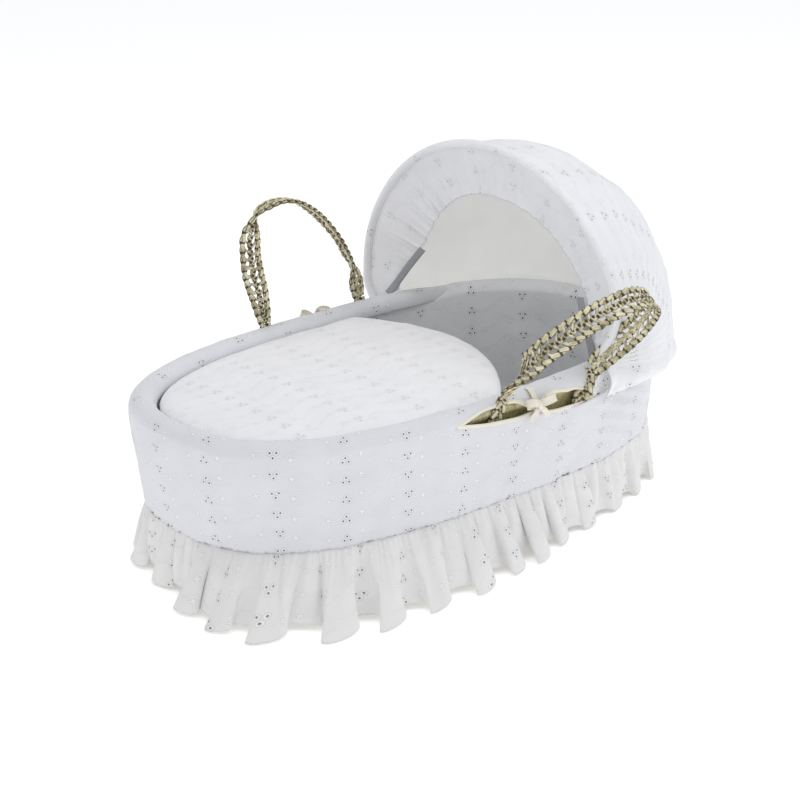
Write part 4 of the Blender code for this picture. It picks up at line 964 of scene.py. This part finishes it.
hang = (0.030 * (1 - q) + 0.006) * smooth((around - 0.84) / 0.16)[None, :]
facing_points = np.stack(np.broadcast_arrays(facing_x, facing_y, HOOD_Z + facing_r - hang), -1)
tuck = facing_points[-1:] + np.array([0.0035, 0.0, 0.0])
tuck[..., 1:] += (facing_points[-2:-1, :, 1:] - facing_points[-1:, :, 1:]) * 1.2
facing_points = np.concatenate([facing_points, tuck])
facing_uv = np.stack(np.broadcast_arrays((around + 1)[None, :] * 0.45, np.append(q[:, 0] * 0.07, 0.073)[:,
        None]), -1)
facing = surface("hood_facing_gathered", facing_points, facing_uv, flip=True)
facing.data.materials.append(broderie("white_broderie_facing", "#efeff1", hole_shade="#a5a7ab", dense=0.6))
finish_cloth(facing, 0.0010, 1.0)
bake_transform(facing)
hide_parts("hood_facing", "facing_elastic")

# Two flat tapes run up behind the facing's edge and hold the hood's sides; their grey is painted shade.
stay_tape = plain_cotton("stay_tape_painted_shade", "#97999c", 0.6)
for label, side in (("near", -1), ("far", 1)):
    rise = np.linspace(0, 1, 24)[:, None]
    wide_at = np.linspace(-1, 1, 6)[None, :]
    low_end, high_end = (np.array([0.231, 0.2335]), np.array([0.152, 0.324]))
    if side < 0:
        low_end, high_end = np.array([0.208, 0.2440]), np.array([0.178, 0.330])
    line = low_end + (high_end - low_end) * rise
    cross = np.array([0.0062, 0.0018])
    tape_y, tape_z = line[:, :1] + cross[0] * wide_at, line[:, 1:] + cross[1] * wide_at
    tape_x = 0.1575 + 0.0010 * np.sin(rise * 7) + 0 * wide_at
    stay = surface(f"hood_stay_tape_{label}", np.stack([tape_x, side * tape_y, tape_z], -1))
    stay.data.materials.append(stay_tape)
    finish_cloth(stay, 0.0012, 0.0)
    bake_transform(stay)
    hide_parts(f"hood_stay_{label}")

# ---------------------------------------------------------------- mattress
# A thin foam pad in a plain cotton cover, rounded at its edges.
mattress_low, mattress_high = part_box("mattress_cover")
pad_t, _, _ = even_stations(360)
profile = np.linspace(0, np.pi, 16)[:, None]
half_thick = (mattress_high[2] - mattress_low[2]) / 2
mx, my = oval(pad_t[None, :], -0.010 * (1 - np.sin(profile) ** 0.6), 0.0, mattress_high[0], mattress_high[1])
mz = mattress_low[2] + half_thick * (1 - np.sign(np.cos(profile)) * np.abs(np.cos(profile)) ** 0.7)
side_wall = np.stack(np.broadcast_arrays(mx, my, mz), -1)
rings = np.linspace(1, 0, 14)[1:, None, None]
flat_plan = np.array([1.0, 1.0, 0.0])
top = side_wall[-1][None] * flat_plan * rings
top[..., 2] = side_wall[-1, :, 2] + 0.002 * (1 - rings[..., 0] ** 2)
bottom = side_wall[0][None] * flat_plan * rings[::-1]
bottom[..., 2] = side_wall[0, :, 2]
pad = surface("mattress_pad", np.concatenate([bottom, side_wall, top]), wrap=True, flip=False)
weld = pad.modifiers.new("closed_middles", "WELD")
weld.merge_threshold = 0.00002
pad.data.materials.append(plain_cotton("plain_cotton_mattress_cover", "#ececed"))
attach(pad, "mattress")
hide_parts("mattress_cover")

# ---------------------------------------------------------------- coverlet
# A quilt of the embroidered cotton over thick wadding, bagged out and turned, so it is crowned in
# the middle, thins to a soft seam at its edge, and lies level with the rim.
QUILT_D, QUILT_HEAD, QUILT_CURVE, QUILT_TURN, QUILT_CORNER = -0.0205, 0.113, 2.3, 0.030, 70.0


def quilt_outline(d, turn_t):
    """The oval inside the roll, blended by a soft minimum into a curved head edge."""
    x, y = oval(turn_t, QUILT_D + d, COIL_Z)
    head = QUILT_HEAD + d - QUILT_CURVE * (y - QUILT_TURN) ** 2
    return -np.log(np.exp(-x * QUILT_CORNER) + np.exp(-head * QUILT_CORNER)) / QUILT_CORNER, y


def blown_up(ob, voxel, pressure, cap):
    """Remeshes a closed form evenly, blows it up as cloth without gravity, and caps each point's move."""
    even_mesh = ob.modifiers.new("even_mesh", "REMESH")
    even_mesh.mode = "VOXEL"
    even_mesh.voxel_size = voxel
    depsgraph = bpy.context.evaluated_depsgraph_get()
    mesh = bpy.data.meshes.new_from_object(ob.evaluated_get(depsgraph))
    ob.modifiers.clear()
    ob.data = mesh
    mesh.polygons.foreach_set("use_smooth", np.ones(len(mesh.polygons), bool))
    start = np.empty(len(mesh.vertices) * 3, np.float32)
    mesh.vertices.foreach_get("co", start)
    cloth = ob.modifiers.new("cloth", "CLOTH")
    cloth.settings.use_pressure = True
    cloth.settings.uniform_pressure_force = pressure
    cloth.settings.effector_weights.gravity = 0.0
    cloth.settings.quality = 5
    for frame_number in range(1, 21):
        scene.frame_set(frame_number)
    moved = np.empty_like(start)
    ob.evaluated_get(bpy.context.evaluated_depsgraph_get()).data.vertices.foreach_get("co", moved)
    ob.modifiers.clear()
    scene.frame_set(1)
    move = (moved - start).reshape(-1, 3)
    length = np.linalg.norm(move, axis=1, keepdims=True)
    capped = move * np.minimum(1, cap / np.maximum(length, 1e-9))
    mesh.vertices.foreach_set("co", (start + capped.ravel()).astype(np.float32))
    mesh.update()


quilt_t, _, _ = even_stations(240)
levels = np.array([(-0.030, 0.2095), (-0.016, 0.2090), (-0.006, 0.2130), (-0.001, 0.2190), (-0.001, 0.2255),
                   (-0.005, 0.2305), (-0.014, 0.2340), (-0.032, 0.2370), (-0.066, 0.2400), (-0.120, 0.2415)])
layers = []
for d, z in levels:
    qx, qy = quilt_outline(d, quilt_t)
    layers.append(np.stack([qx, qy, np.full(len(quilt_t), z)], -1))
quilt_middle = np.array([-0.15, 0.0, 0.0])
share = np.linspace(0, 1, 12)[:, None, None]
low_cap = (layers[0] * flat_plan - quilt_middle)[None] * share[:-1] + quilt_middle
low_cap[..., 2] = levels[0, 1]
high_cap = (layers[-1] * flat_plan - quilt_middle)[None] * share[::-1][1:] + quilt_middle
high_cap[..., 2] = levels[-1, 1] + 0.0015 * (1 - share[::-1][1:, :, 0] ** 2)
quilt = surface("coverlet_quilt", np.concatenate([low_cap, np.stack(layers), high_cap]), wrap=True)
blown_up(quilt, 0.006, 4.0, 0.0032)
quilt.data.materials.clear()
quilt.data.materials.append(broderie("white_broderie_quilted", "#f4f4f5", coords="Object", hole_shade="#c4c5c9",
        dense=0.6, soft=0.8))
smoother = quilt.modifiers.new("smoother", "SUBSURF")
smoother.levels = 1
smoother.render_levels = 1
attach(quilt, "coverlet")
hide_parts("coverlet")
